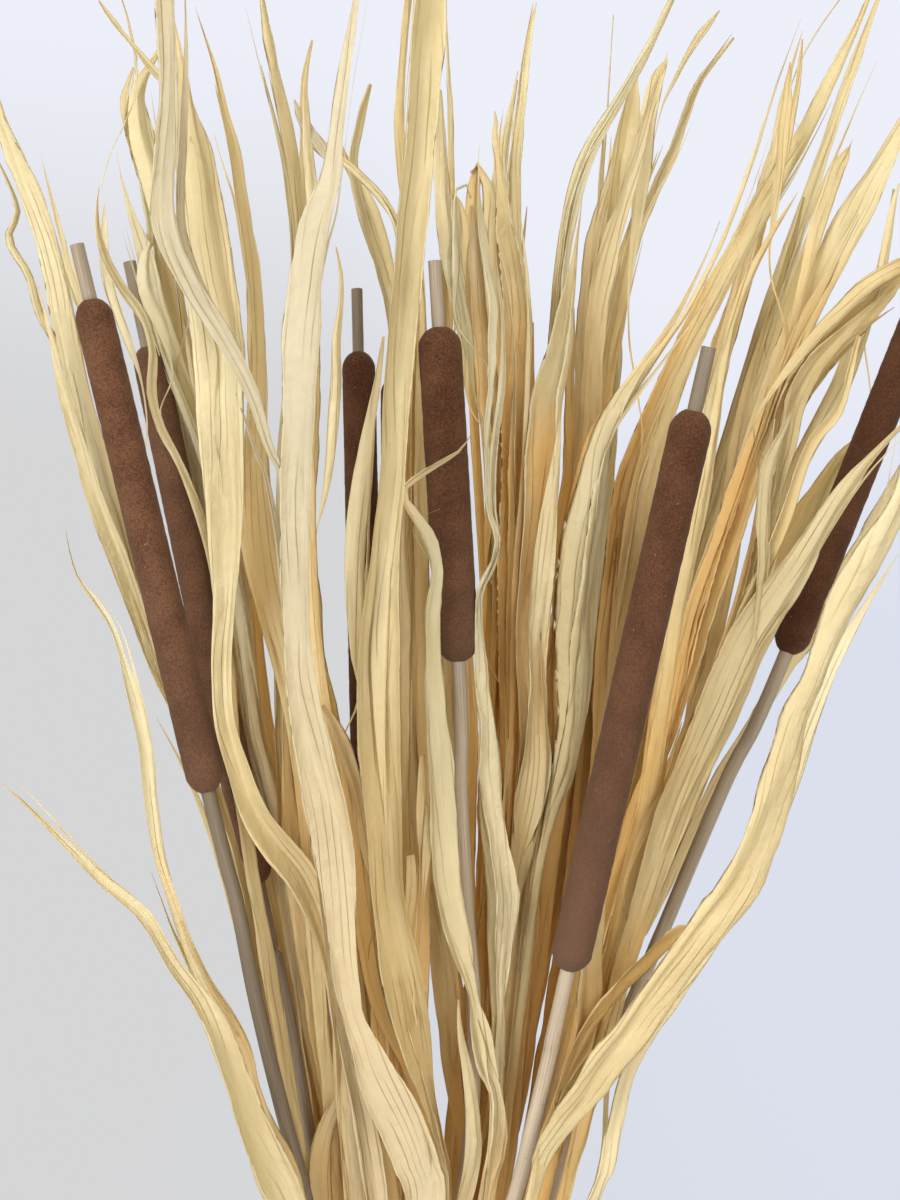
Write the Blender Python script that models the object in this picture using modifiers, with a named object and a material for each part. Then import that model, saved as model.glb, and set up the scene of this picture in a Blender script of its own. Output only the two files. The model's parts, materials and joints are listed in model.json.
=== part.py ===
"""Bunch of dried strap leaves and bulrushes standing in a plain ceramic vase.

Lengths are written in millimetres and scaled to metres by MM. +Z is up, the bunch faces -Y,
and the origin is the centre of the vase's base, on the surface it stands on.

The bunch is drawn in front elevation: every route is a list of (x, z) places on the bunch's
middle plane, as an eye VIEW_DISTANCE in front of it sees them. Each stem and leaf has a row,
0 nearest to the eye. The rows are flat and close together in the vase's mouth and fan out
above it, and a piece in a nearer or farther row is moved along its line of sight.
"""

import math

import bpy
import bmesh
from mathutils import Vector

MM = 0.001
BUNCH_NAME = "vase_of_dried_leaves"

# Vase
VASE_HEIGHT = 235.0
VASE_FOOT_R = 43.0
VASE_BELLY_R = 64.0
VASE_BELLY_Z = 96.0
VASE_NECK_R = 45.5
VASE_NECK_Z = 196.0
VASE_LIP_R = 50.0
VASE_WALL = 5.0
VASE_FLOOR = 12.0
VASE_SIDES = 36

# Rows of the bunch
GAP = 0.3
ROW_FIRST_Y = -27.5
ROW_STEP = 5.0
SPLAY = 4.0
SPLAY_HEIGHT = 320.0
EYE_X = 8.0
EYE_Z = 545.0
VIEW_DISTANCE = 600.0

# Leaves
LEAF_RIM_WIDTH = 7.0
LEAF_FOOT_WIDTH = 6.0
LEAF_THICKNESS = 1.1
LEAF_KEEL = 0.12
LEAF_KEEL_MAX = 1.8
NARROWEST_TURN = 0.5

# Bulrushes
STEM_R = 2.9
STEM_TOP_R = 2.3
SPIKE_BORE_R = 2.95
SPIKE_SIDES = 12
SPIKE_TURN_OUT = 5.0

CERAMIC = ((0.80, 0.77, 0.71), 0.45)
STRAW = ((0.80, 0.68, 0.42), 0.62)
PALE_STRAW = ((0.86, 0.78, 0.55), 0.60)
AMBER_STRAW = ((0.66, 0.45, 0.20), 0.65)
DRY_STEM = ((0.48, 0.40, 0.32), 0.70)
BROWN_DOWN = ((0.20, 0.09, 0.06), 0.95)

# name, row, x at the vase's rim, spike radius, then (x, z) of the stub's top, the spike's top and
# its bottom, and the stem's bends below it
BULRUSHES = [
    ("left", 2, -21.5, 6.4, (-126, 673), (-121.5, 653), (-79, 476),
     [(-69, 437), (-61.7, 400), (-52, 360), (-43, 325)]),
    ("left_inner", 5, -24.5, 6.2, (-110, 666), (-101, 636), (-61, 443),
     [(-55, 418), (-48.5, 385), (-40, 335)]),
    ("back_left", 9, -9, 6.9, (-25, 657), (-25, 634), (-21, 455),
     [(-19, 420), (-15, 370), (-12, 335)]),
    ("centre", 3, 5, 7.5, (2.5, 667), (4, 643), (11, 523),
     [(12, 475), (14, 435), (16.5, 400), (16, 360), (12, 325)]),
    ("front_right", 1, 13.5, 6.9, (101.2, 636), (96, 613), (50.5, 412),
     [(44, 382), (34.5, 342), (27, 310)]),
    ("far_right", 4, 23, 6.5, (192, 684), (184, 664), (129, 526),
     [(107.5, 480), (82, 420), (60, 368), (46, 335)]),
    ("back_right", 9, 9, 6.6, (77.5, 600), (74, 582), (43.5, 457),
     [(38, 436), (30, 400), (25, 372), (19, 335)]),
    ("back_centre", 8, -7, 6.8, (-11.6, 645), (-11, 625), (-9.5, 470),
     [(-9, 430), (-8, 380), (-7, 335)]),
]

# name, row, x at the vase's rim, turn of the blade low down and at its tip in degrees, how far the
# tip sways out of its row (+ away from the eye), finish, and the blade from its foot to its tip as
# (x, z, width seen from the front)
LEAVES = [
    # row 0, nearest to the eye
    ("left_low_leaf", 0, -11, 25, 55, -16, PALE_STRAW,
     [(-52, 326, 13), (-59, 341, 14), (-66, 357, 12), (-71, 372, 10), (-77, 390, 9),
      (-83, 402, 6.5), (-91.5, 413, 5), (-101.5, 430, 4.5), (-110, 438, 4), (-117.5, 444, 3.5),
      (-131.5, 458.5, 3), (-146.5, 473, 2.4), (-155, 480, 0.9)]),
    ("near_middle_leaf", 0, 0, 14, -45, -14, PALE_STRAW,
     [(-1, 322, 15), (-4, 341, 17), (-9, 355, 18), (-14, 365, 18), (-19, 375, 15), (-23, 385, 11),
      (-27, 395, 8), (-29.5, 407, 10), (-31.5, 425, 11), (-33, 450, 15), (-36, 470, 17),
      (-40, 490, 15), (-44, 510, 13), (-46, 530, 11), (-47, 560, 12), (-46, 600, 13),
      (-44, 640, 15), (-40, 675, 12), (-35, 695, 8), (-32, 720, 6), (-29, 745, 5), (-26, 765, 4),
      (-21, 800, 1.2)]),
    ("near_right_leaf", 0, 11, 25, 50, -20, PALE_STRAW,
     [(38, 330, 6), (41, 343, 7), (46, 352, 9), (52, 362, 12), (58, 371, 14), (64, 380, 16),
      (72, 389, 16), (79.5, 400, 15), (89.5, 414, 15), (101, 429.5, 17), (111, 444, 18),
      (117.5, 458.5, 17.5), (123.5, 473, 16), (129.5, 487.5, 12.5), (134, 502, 12),
      (140.5, 516, 10.5), (146, 530, 10.5), (152, 545, 12), (161, 562, 12), (171, 585, 9),
      (176, 610, 6), (180, 636, 2)]),
    # row 1
    ("left_wisp_leaf", 1, -16, -30, 50, -10, PALE_STRAW,
     [(-45, 327, 8), (-50, 340, 8), (-57, 355, 6), (-62, 370, 4), (-65, 382, 5), (-71, 394, 9),
      (-80, 407, 7), (-87, 422, 5), (-92, 438, 4.5), (-97, 455, 4), (-100, 475, 5),
      (-102, 492, 5), (-106, 510, 5), (-110, 525, 2.5), (-114, 536, 2.5), (-120, 545, 3.5),
      (-127, 555, 1.6), (-131, 573, 0.9)]),
    ("near_left_leaf", 1, -6, 30, -50, 8, STRAW,
     [(-20, 335, 7), (-30, 390, 7), (-38, 450, 7), (-46, 520, 6), (-52, 585, 3.5),
      (-57, 600, 4), (-62.5, 620, 6), (-72, 640, 8), (-84, 660, 9), (-92, 682, 11),
      (-91, 710, 11), (-90, 740, 10), (-91, 765, 9), (-94, 800, 7), (-99, 838, 2.5)]),
    ("near_centre_leaf", 1, 4, -20, 45, -12, PALE_STRAW,
     [(7, 330, 4), (4.5, 350, 4), (0.5, 368, 7), (-4, 392, 15), (-8, 412, 17), (-13, 437, 14),
      (-15, 465, 15), (-17, 500, 18), (-17.5, 530, 17), (-16, 560, 12), (-13.5, 590, 10.5),
      (-12, 620, 11.5), (-8.5, 660, 12), (-4.5, 700, 12), (-2, 730, 12.5), (0.5, 762, 13),
      (4, 800, 11), (7, 838, 7), (9, 868, 2)]),
    ("low_right_leaf", 1, 21, 35, -45, 10, PALE_STRAW,
     [(58, 326, 5), (63.5, 340, 6), (66.5, 355, 6), (70.5, 372, 6), (78, 388, 7), (90, 406, 7),
      (106, 430, 7), (120, 455, 7), (130.5, 480, 7), (138, 502, 6), (146, 522, 5), (157, 542, 4),
      (170, 562, 1.5)]),
    # row 2
    ("pleated_leaf", 2, -12, 25, -35, 0, STRAW,
     [(-27, 332, 8), (-30, 365, 8), (-32, 390, 7), (-35, 412, 8), (-39, 430, 11), (-46, 446, 14),
      (-54, 456, 14), (-62, 468, 12), (-68, 485, 10), (-73, 502, 9), (-74, 522, 9), (-73, 543, 10),
      (-73, 565, 14), (-73, 600, 20), (-74, 638, 24), (-78, 660, 23), (-81.5, 682, 21),
      (-85, 704, 18), (-88, 722, 13), (-90, 738, 9), (-92, 752, 6), (-95, 770, 1.5)]),
    ("torn_strip_leaf", 2, -3, -35, 50, 6, STRAW,
     [(2, 330, 3.5), (0, 352, 3.5), (-5, 371, 4), (-9, 381, 4), (-15, 392, 5), (-19.5, 405, 6),
      (-22.5, 420, 6.5), (-25.5, 437, 7), (-28, 455, 7), (-32, 480, 6), (-37, 505, 5),
      (-41, 540, 5), (-43, 590, 6), (-42, 640, 6), (-41, 680, 5), (-43, 705, 5), (-44, 730, 4),
      (-41, 747, 1.2)]),
    ("split_leaf", 2, 6, 20, 60, 0, PALE_STRAW,
     [(21, 328, 7), (24, 344, 8), (25, 357, 7), (24, 368, 5), (20, 378, 8), (18, 390, 7.5),
      (16.5, 401, 3.5), (14, 410, 5), (10, 422, 8), (6, 440, 9), (4, 455, 9), (3, 470, 10),
      (2, 490, 10), (1, 508, 8), (0.5, 525, 6.5), (1, 542, 6), (3, 555, 5), (0, 566, 5.5),
      (-6, 576, 5), (-9, 584, 3.5), (-4, 589, 4), (4, 594, 4.5), (12, 599, 3), (17, 606, 1)]),
    ("bulrush_side_leaf", 2, 16, 40, 25, -6, STRAW,
     [(36, 328, 5), (41, 345, 6), (47, 362, 7), (52, 380, 8), (55, 395, 10), (56.5, 412, 10),
      (58, 432, 10), (62, 455, 9), (68, 480, 8), (75, 510, 7), (83, 540, 7), (90, 570, 6),
      (97, 600, 5), (104, 628, 3), (109, 645, 1.2)]),
    ("right_band_leaf", 2, 25.5, -25, 35, 8, STRAW,
     [(49, 330, 5), (54, 350, 6), (59, 370, 6), (65, 390, 7), (70, 410, 8), (76, 430, 9),
      (81, 446, 11), (86, 460, 13), (91, 473, 14), (97, 486, 14), (104, 500, 17),
      (110, 513, 18), (117, 528, 18), (125, 541, 17), (133, 553, 14), (141, 567, 10),
      (150, 582, 8), (160, 596, 6), (170, 607, 5), (181, 617, 1.5)]),
    # row 3
    ("left_curl_leaf", 3, -24, 35, 60, -6, STRAW,
     [(-43, 332, 5), (-49, 365, 5), (-55, 400, 5), (-60, 430, 5), (-66, 465, 5), (-70, 500, 5),
      (-73, 538, 4.5), (-78, 563, 3.5), (-84, 582, 3), (-90, 596, 2.6), (-96, 608, 2.6),
      (-99.5, 621, 2.6), (-99, 635, 2.6), (-103, 648, 3), (-110, 657, 4), (-115.5, 666, 5),
      (-118.5, 676, 5), (-119, 686, 3), (-118, 694, 1)]),
    ("left_inner_leaf", 3, -14, -35, 55, 6, STRAW,
     [(-32, 332, 6), (-36, 370, 6), (-40, 410, 6), (-43, 450, 6.5), (-45, 480, 8), (-48, 505, 10),
      (-52, 525, 12), (-57, 545, 14), (-61, 565, 15), (-62.5, 585, 14), (-62, 605, 9),
      (-61, 635, 5), (-62, 655, 4.5), (-65, 680, 4.5), (-69, 705, 4), (-73, 720, 4), (-77, 737, 3),
      (-84, 759, 1)]),
    ("hooked_strip", 3, -4.5, 40, 75, -10, STRAW,
     [(-8, 335, 6), (-12, 380, 6), (-15, 430, 6), (-17, 480, 6), (-17, 530, 5), (-16, 580, 5),
      (-13, 630, 5), (-11, 662, 4), (-13, 680, 3.5), (-20, 691, 3.5), (-28, 699, 3.5),
      (-35, 705, 3), (-42, 714, 2.5), (-49, 725, 1)]),
    ("twisted_leaf", 3, 14, 40, 80, -8, PALE_STRAW,
     [(24, 332, 5), (26, 362, 5), (27, 392, 3.5), (27, 405, 4), (28.5, 420, 6), (30, 436, 8),
      (28.5, 448, 6), (26, 461, 5), (25, 475, 6), (24, 494, 6), (22, 512, 5), (20, 530, 4),
      (20, 548, 4), (24, 557, 4), (25.5, 567, 3.5), (22.5, 578, 3.5), (22, 600, 4),
      (24.5, 625, 4.5), (25, 650, 5), (22, 672, 6), (19, 688, 6.5), (18, 700, 4), (18.5, 710, 1)]),
    ("right_amber_leaf", 3, 24, -40, 50, 8, AMBER_STRAW,
     [(42, 332, 5), (49, 360, 6), (56, 382, 6), (62, 402, 7), (67, 421, 7), (71, 440, 7),
      (76, 460, 8), (80, 480, 9), (82.5, 500, 9), (85.5, 520, 8), (89, 540, 8), (93, 556, 8),
      (98, 577, 8), (103, 605, 7), (107, 630, 6.5), (112, 650, 6.5), (121, 671, 6.5),
      (133, 692, 1.5)]),
    # row 4
    ("left_outer_leaf", 4, -28, 30, -50, -10, STRAW,
     [(-45, 335, 5), (-51, 360, 5), (-56, 385, 5), (-60, 405, 5), (-64, 425, 5), (-68, 445, 5),
      (-73, 465, 5), (-80, 485, 5), (-89, 504, 6), (-97, 522, 7.5), (-103, 541, 9),
      (-108.5, 560, 10.5), (-115, 580, 11), (-120, 600, 11), (-125, 620, 11), (-129, 640, 11),
      (-133, 660, 11), (-139, 680, 10), (-147, 700, 9), (-155, 722, 8), (-163, 743, 5),
      (-171, 765, 1.2)]),
    ("inner_strip_leaf", 4, -17, -40, 55, -8, STRAW,
     [(-28, 332, 5), (-34, 362, 6), (-40, 400, 7), (-45, 432, 8), (-49, 452, 8), (-51, 472, 8),
      (-53, 496, 5), (-53, 525, 5), (-51, 560, 5), (-48, 600, 5), (-46, 640, 5), (-46, 675, 5),
      (-48, 700, 5), (-51, 716, 5), (-54, 731, 5), (-57, 746, 5), (-60, 763, 4), (-65, 788, 1.2)]),
    ("tan_ribbed_leaf", 4, 3, 30, -50, 8, STRAW,
     [(17, 332, 6), (22, 355, 7), (26, 385, 7), (29, 410, 7), (31, 435, 8), (32.5, 448, 9),
      (34.5, 461, 12), (36.5, 475, 14), (38, 490, 13), (38, 506, 12), (37.5, 530, 12),
      (39, 552, 12.5), (41.5, 574, 13.5), (43.5, 595, 13.5), (45, 617, 11.5), (47.5, 631, 10),
      (50, 646, 8), (52, 660, 5.5), (53.5, 675, 3.5), (55.5, 690, 1.2)]),
    ("blade_with_curl", 4, 13, 30, 45, -8, STRAW,
     [(26, 335, 4), (30, 370, 4), (35, 410, 4), (39, 440, 4), (42, 457, 4), (45.5, 470, 6),
      (50, 485, 9), (52.5, 500, 10), (53.5, 517, 12), (55, 543, 14), (58, 573, 14), (62, 597, 9.5),
      (66, 608, 8), (71, 617, 6.5), (77.5, 626, 4.5), (86, 638, 2.4), (93, 648, 1.9),
      (101, 663, 1.8), (107.5, 677, 1.8), (113, 692, 1.8), (117.5, 705, 1.7), (122, 720, 1.6),
      (127, 735, 1.4), (134, 754, 0.8)]),
    # row 5
    ("left_pale_leaf", 5.4, -14, 35, -40, -4, PALE_STRAW,
     [(-31, 332, 5), (-37, 370, 6), (-43, 400, 7), (-48, 430, 8), (-52, 459, 9), (-57, 478, 8),
      (-62, 497, 8), (-65, 520, 9), (-68, 550, 8), (-75, 580, 8), (-84, 607, 8), (-92, 628, 8.5),
      (-98, 648, 9), (-103, 668, 9.5), (-107, 684, 6.5), (-110, 696, 3), (-112, 706, 1)]),
    ("centre_tan_leaf", 5, 0, -35, 50, 6, AMBER_STRAW,
     [(11, 330, 5), (12.5, 343, 5), (12.5, 354, 5.5), (10.5, 366, 6.5), (8.5, 379, 8), (8, 392, 9),
      (6, 411, 9), (2.5, 431, 9), (-2, 450, 8), (-4.5, 472, 8), (-5.5, 502, 7.5), (-5.5, 540, 8),
      (-5, 580, 8), (-5, 620, 7.5), (-5.5, 650, 6), (-8, 680, 5), (-10.5, 705, 4.5),
      (-10.5, 724, 4), (-7, 762, 4), (-3, 796, 1)]),
    ("centre_wide_leaf", 5, 9, 25, -45, -8, STRAW,
     [(22, 332, 6), (25, 370, 7), (27, 410, 8), (29, 445, 8), (29, 466, 8.5), (29.5, 486, 9),
      (30, 503, 9.5), (30, 521, 10), (30.5, 540, 11), (31, 562, 11.5), (32, 590, 12),
      (33, 620, 12), (33.5, 648, 11), (30, 674, 8), (27, 692, 6), (25, 706, 4), (27, 722, 1)]),
    ("right_arching_leaf", 5, 17, 40, 25, 8, AMBER_STRAW,
     [(38, 335, 5), (49, 370, 6), (60, 400, 6.5), (72, 430, 7), (84, 460, 7.5), (96, 490, 8),
      (106, 516, 8), (115, 545, 8), (121.5, 573, 8), (124, 588, 9), (126, 603, 11), (129, 619, 13),
      (136, 631, 13.5), (145, 640.5, 13), (156, 651, 12), (170, 663, 11), (181, 673, 7),
      (189, 680, 1.5)]),
    # row 6
    ("far_left_leaf", 6, -22, 30, -25, 6, STRAW,
     [(-38, 335, 5), (-44, 370, 6), (-50, 410, 6), (-57, 450, 6), (-65, 490, 7), (-73, 530, 8),
      (-80, 570, 8), (-86, 610, 8), (-91, 650, 8), (-93, 672, 8.5), (-96, 690, 10),
      (-100, 705, 11.5), (-103, 718, 13), (-102, 731, 11), (-98, 741, 6), (-94, 750, 1.5)]),
    ("right_inner_leaf", 6, 8, -40, 60, -8, PALE_STRAW,
     [(26, 335, 5), (31, 370, 5), (35, 410, 6), (37.5, 450, 6), (38.5, 490, 6.5), (38.5, 530, 7),
      (40, 562, 7), (43, 590, 6), (45, 615, 5), (45.5, 638, 4.5), (47, 661, 4), (50.5, 686, 4),
      (57, 706, 4), (66, 721, 4), (78, 741, 4), (89, 763, 3.5), (99, 787, 1)]),
    ("right_straw_leaf", 6, 15.5, 35, -45, -6, STRAW,
     [(35, 335, 5), (46, 370, 6), (57, 410, 7), (68, 445, 7), (78, 476, 6), (87, 497, 5),
      (92, 516, 7), (97, 539, 10), (104, 560, 10), (112, 582, 10), (119, 605, 10), (127, 630, 9.5),
      (135, 649, 10), (143, 664, 10), (155, 689, 10), (169, 714, 8), (184, 739, 1.5)]),
    # row 7
    ("left_amber_leaf", 7, -18, -30, 50, 8, AMBER_STRAW,
     [(-33, 335, 7), (-38, 360, 8), (-41, 385, 9), (-44, 405, 11), (-47, 425, 12),
      (-50, 444, 12), (-52.5, 460, 11), (-57, 475, 9), (-62, 492, 8), (-65, 512, 9),
      (-66, 540, 10), (-64, 580, 8), (-62, 620, 7), (-64, 660, 6), (-70, 700, 4),
      (-77, 731, 1.2)]),
    ("right_slack_leaf", 7, 18, 40, -50, 8, STRAW,
     [(42, 340, 5), (48.5, 365, 5.5), (57, 390, 6), (66, 412, 6), (77, 434, 6.5), (87, 455, 7),
      (93, 470, 7.5), (98, 484, 8), (103, 498, 8.5), (108.5, 513, 9.5), (115.5, 531, 11),
      (123, 547, 12.5), (132, 563, 13), (140.5, 579, 10.5), (150, 595, 9), (159, 606, 5),
      (168, 617, 1.2)]),
    ("right_centre_leaf", 7, 3, 30, -50, -8, STRAW,
     [(26, 335, 5), (33, 370, 6), (38.5, 410, 6), (44, 450, 6), (48.5, 492, 7), (53, 545, 8),
      (55.5, 566, 9), (58, 592, 9.5), (59, 620, 8.5), (61, 641, 8), (63, 656, 7.5), (67, 672, 7),
      (73, 694, 6), (79, 718, 4.5), (86, 742, 1.5)]),
    ("right_long_leaf", 7, 10.5, 40, -40, 6, STRAW,
     [(34.5, 335, 5), (42, 370, 6), (50, 410, 6.5), (57, 450, 8), (62.5, 490, 9.5),
      (65.5, 530, 11), (70.5, 562, 14), (75, 588, 15), (83.5, 613, 11), (93, 635, 9),
      (103, 655, 9), (112.5, 672, 8), (123, 692, 7.5), (135, 712, 6), (146, 735, 5),
      (157, 758, 3.5), (166, 780, 1)]),
    # row 8
    ("left_upper_leaf", 8, -18, 30, -55, -8, STRAW,
     [(-32, 335, 5), (-38, 370, 6), (-47, 420, 6), (-57, 470, 7), (-67, 520, 8), (-77, 570, 9),
      (-85, 620, 9), (-92, 660, 8), (-96, 690, 7), (-99, 708, 6), (-103, 726, 4.5),
      (-106, 744, 1.5)]),
    ("centre_fan_leaf", 8, 4, 35, 60, -6, STRAW,
     [(14, 335, 5), (18, 380, 6), (21, 430, 7), (23.5, 480, 8), (25, 530, 9), (26, 580, 10),
      (27.5, 622, 9.5), (29, 653, 8), (31.5, 682, 5.5), (33, 711, 3.5), (34.5, 738, 3),
      (38, 760, 1)]),
    ("amber_side_leaf", 8, 13, -40, 45, 8, AMBER_STRAW,
     [(27, 335, 5), (31, 360, 6), (34, 382, 7), (37, 401, 9), (41, 421, 9), (46, 441, 8),
      (50, 456, 7), (53.5, 470, 7), (57, 486, 7), (59.5, 501, 7), (61, 521, 8), (60, 546, 8),
      (59.5, 580, 8), (62, 615, 7), (68, 650, 6), (75, 682, 4), (83, 707, 1.2)]),
    ("right_back_leaf", 8, 22, 30, -45, 6, AMBER_STRAW,
     [(40, 335, 5), (52, 370, 6), (64, 410, 7), (76, 445, 8), (87, 477, 8), (95.5, 502, 8),
      (102, 527, 8), (108, 556, 8), (111.5, 582, 7.5), (117, 610, 7), (124, 635, 7),
      (131, 655, 6.5), (137, 670, 6), (145, 692, 5), (153, 711, 1.2)]),
    # row 9
    ("centre_right_strip", 9, 1, -40, 55, -6, STRAW,
     [(9, 335, 5), (14, 380, 6), (22, 430, 6), (31, 470, 7), (40.5, 505, 7), (50.5, 535, 7),
      (55, 560, 9), (56.5, 585, 10), (57, 610, 9.5), (57.5, 640, 8), (60, 667, 7), (65, 691, 6),
      (71, 715, 4), (76, 738, 1.2)]),
    ("right_upper_leaf", 9, 17, 30, -55, 8, STRAW,
     [(34, 335, 5), (44, 370, 6), (55, 420, 7), (66, 470, 7), (77, 520, 8), (86, 560, 8),
      (93, 587, 8), (100, 615, 8), (109, 644, 7), (116, 670, 6), (122, 695, 5), (126, 713, 4.2),
      (129, 730, 3.2), (135, 750, 1)]),
    # row 10
    ("left_rear_leaf", 10, -12, 40, -55, 14, STRAW,
     [(-30, 335, 5), (-46, 380, 6), (-64, 430, 7), (-82, 490, 8), (-97, 545, 8), (-108, 590, 7),
      (-118, 630, 6), (-127, 658, 5), (-133, 680, 3.5), (-139, 705, 1)]),
    ("right_rear_leaf", 10, 10, -30, 50, 8, STRAW,
     [(24, 335, 5), (32, 380, 6), (40, 430, 7), (47, 480, 8), (52, 530, 8), (57, 572, 8),
      (62, 612, 8), (67, 647, 7), (74, 674, 5), (81, 692, 4), (89, 709, 3.5), (98, 731, 3),
      (110, 749, 1)]),
    ("far_right_leaf", 10, 19, 35, -50, -6, STRAW,
     [(38, 335, 5), (52, 380, 6), (66, 430, 7), (80, 490, 8), (92, 540, 8), (101, 574, 8),
      (110, 606, 8), (120, 640, 7), (129, 667, 6), (137, 690, 5), (144, 711, 4), (152, 735, 3.5),
      (163, 763, 2.2), (172, 785, 1)]),
    # row 11, farthest from the eye
    ("rear_centre_leaf", 11, -6, 30, 50, 16, STRAW,
     [(-10, 335, 6), (-18, 390, 8), (-28, 450, 9), (-38, 500, 9), (-46, 546, 9), (-48, 590, 9),
      (-46, 630, 8), (-46, 666, 6), (-49, 700, 4), (-54, 730, 1.2)]),
    ("rear_wide_leaf", 11, 5, -25, -50, 12, STRAW,
     [(20, 335, 6), (28, 390, 8), (34, 440, 10), (40, 490, 11), (50, 535, 12), (58, 570, 13),
      (62, 600, 13), (64.5, 630, 12), (65.5, 661, 9), (65.5, 687, 5), (66, 712, 1.2)]),
]


def clear_scene():
    for item in list(bpy.data.objects):
        bpy.data.objects.remove(item, do_unlink=True)


def new_collection(name):
    collection = bpy.data.collections.new(name)
    bpy.context.scene.collection.children.link(collection)
    return collection


def finish_material(name, finish):
    colour, roughness = finish
    material = bpy.data.materials.new(name)
    material.use_nodes = True
    shader = material.node_tree.nodes["Principled BSDF"]
    shader.inputs["Base Color"].default_value = (*colour, 1.0)
    shader.inputs["Roughness"].default_value = roughness
    shader.inputs["Metallic"].default_value = 0.0
    material.diffuse_color = (*colour, 1.0)
    return material


def add_object(name, data, collection, finish):
    item = bpy.data.objects.new(name, data)
    collection.objects.link(item)
    data.materials.append(finish_material(name, finish))
    return item


def row_depth(row, z):
    """Depth of a row at a height: level in the vase, fanning out above its rim."""
    rise = max(0.0, z - VASE_HEIGHT)
    spread = 1.0 + SPLAY * (1.0 - math.exp(-rise / SPLAY_HEIGHT))
    return (ROW_FIRST_Y + ROW_STEP * row) * spread


def on_sight_line(x, z, row, sway=0.0):
    """The place in its row, or sway behind it, that the eye sees at (x, z) on the middle plane."""
    y = row_depth(row, z) + sway
    reach = 1.0 + y / VIEW_DISTANCE
    return Vector((EYE_X + (x - EYE_X) * reach, y, EYE_Z + (z - EYE_Z) * reach))


def in_the_vase(rim_x, row, z):
    return Vector((rim_x, row_depth(row, VASE_HEIGHT), z))


# ---- vase ----

def vase_profile():
    """Half section of the vase: up its inside, over the lip and down its outside."""
    def ease(t):
        return t * t * (3.0 - 2.0 * t)

    def outer_radius(z):
        if z < VASE_BELLY_Z:
            swell = math.sin(0.5 * math.pi * z / VASE_BELLY_Z)
            return VASE_FOOT_R + (VASE_BELLY_R - VASE_FOOT_R) * swell
        if z < VASE_NECK_Z:
            drop = ease((z - VASE_BELLY_Z) / (VASE_NECK_Z - VASE_BELLY_Z))
            return VASE_BELLY_R + (VASE_NECK_R - VASE_BELLY_R) * drop
        flare = ((z - VASE_NECK_Z) / (VASE_HEIGHT - VASE_NECK_Z)) ** 2
        return VASE_NECK_R + (VASE_LIP_R - VASE_NECK_R) * flare

    heights = [16, 42, 70, 98, 126, 150, 176, 200, 218]
    inside = [(0.0, VASE_FLOOR), (outer_radius(VASE_FLOOR) - VASE_WALL - 6.0, VASE_FLOOR)]
    inside += [(outer_radius(z + 4.0) - VASE_WALL, z + 4.0) for z in heights]
    lip_mid = VASE_LIP_R - 0.5 * VASE_WALL
    lip_half = 0.5 * VASE_WALL
    lip = [(lip_mid + lip_half * math.cos(a), VASE_HEIGHT - lip_half + lip_half * math.sin(a))
           for a in (math.pi, 0.67 * math.pi, 0.33 * math.pi, 0.0)]
    outside = [(outer_radius(z), z) for z in reversed(heights)]
    base = [(VASE_FOOT_R - 1.0, 2.0), (VASE_FOOT_R - 3.0, 0.0), (0.0, 0.0)]
    return inside + lip + outside + base


def turned(name, profile, closed, steps, collection, finish):
    """A profile of (radius, z) turned about the object's own Z axis."""
    mesh = bpy.data.meshes.new(name)
    verts = [(r * MM, 0.0, z * MM) for r, z in profile]
    edges = [(i, i + 1) for i in range(len(verts) - 1)]
    if closed:
        edges.append((len(verts) - 1, 0))
    mesh.from_pydata(verts, edges, [])
    item = add_object(name, mesh, collection, finish)
    screw = item.modifiers.new("turn", "SCREW")
    screw.axis = "Z"
    screw.steps = steps
    screw.render_steps = steps
    screw.use_merge_vertices = True
    screw.merge_threshold = 0.00001
    screw.use_smooth_shade = True
    return item


def build_vase(collection):
    turned("vase", vase_profile(), False, VASE_SIDES, collection, CERAMIC)


# ---- bulrushes ----

def spike_profile(radius, length):
    """Half section of a flower spike around its bore: rounded at both ends."""
    end = SPIKE_TURN_OUT
    outside = [(radius * 0.62, length), (radius * 0.90, length - 0.35 * end),
               (radius, length - 1.3 * end), (radius * 1.03, length * 0.5),
               (radius, 1.3 * end), (radius * 0.88, 0.35 * end), (radius * 0.62, 0.0)]
    bore = [(SPIKE_BORE_R, 0.6), (SPIKE_BORE_R, length - 0.6)]
    return outside + bore


def build_stem(name, points, collection):
    """A tapering round stem through the points, cut flat at both ends."""
    curve = bpy.data.curves.new(name, "CURVE")
    curve.dimensions = "3D"
    curve.bevel_depth = STEM_R * MM
    curve.bevel_resolution = 2
    curve.use_fill_caps = True
    spline = curve.splines.new("POLY")
    spline.points.add(len(points) - 1)
    foot = points[0].z
    height = points[-1].z - foot
    for place, point in zip(points, spline.points):
        point.co = (*(place * MM), 1.0)
        share = (place.z - foot) / height
        point.radius = 1.0 + (STEM_TOP_R / STEM_R - 1.0) * share
    return add_object(name, curve, collection, DRY_STEM)


def build_bulrush(entry, collection):
    name, row, rim_x, radius, stub, top, bottom, bends = entry
    head_top = on_sight_line(*top, row)
    head_foot = on_sight_line(*bottom, row)
    axis = (head_top - head_foot).normalized()
    stub_length = (on_sight_line(*stub, row) - head_top).length
    stem = [in_the_vase(rim_x, row, VASE_FLOOR + GAP), in_the_vase(rim_x, row, VASE_HEIGHT)]
    stem += [on_sight_line(x, z, row) for x, z in reversed(bends)]
    stem += [head_foot - axis * 6.0, head_top + axis * stub_length]
    build_stem(f"bulrush_{name}_stem", stem, collection)

    length = (head_top - head_foot).length
    spike = turned(f"bulrush_{name}_spike", spike_profile(radius, length), True,
                   SPIKE_SIDES, collection, BROWN_DOWN)
    spike.location = head_foot * MM
    spike.rotation_mode = "QUATERNION"
    spike.rotation_quaternion = Vector((0, 0, 1)).rotation_difference(axis)


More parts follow.
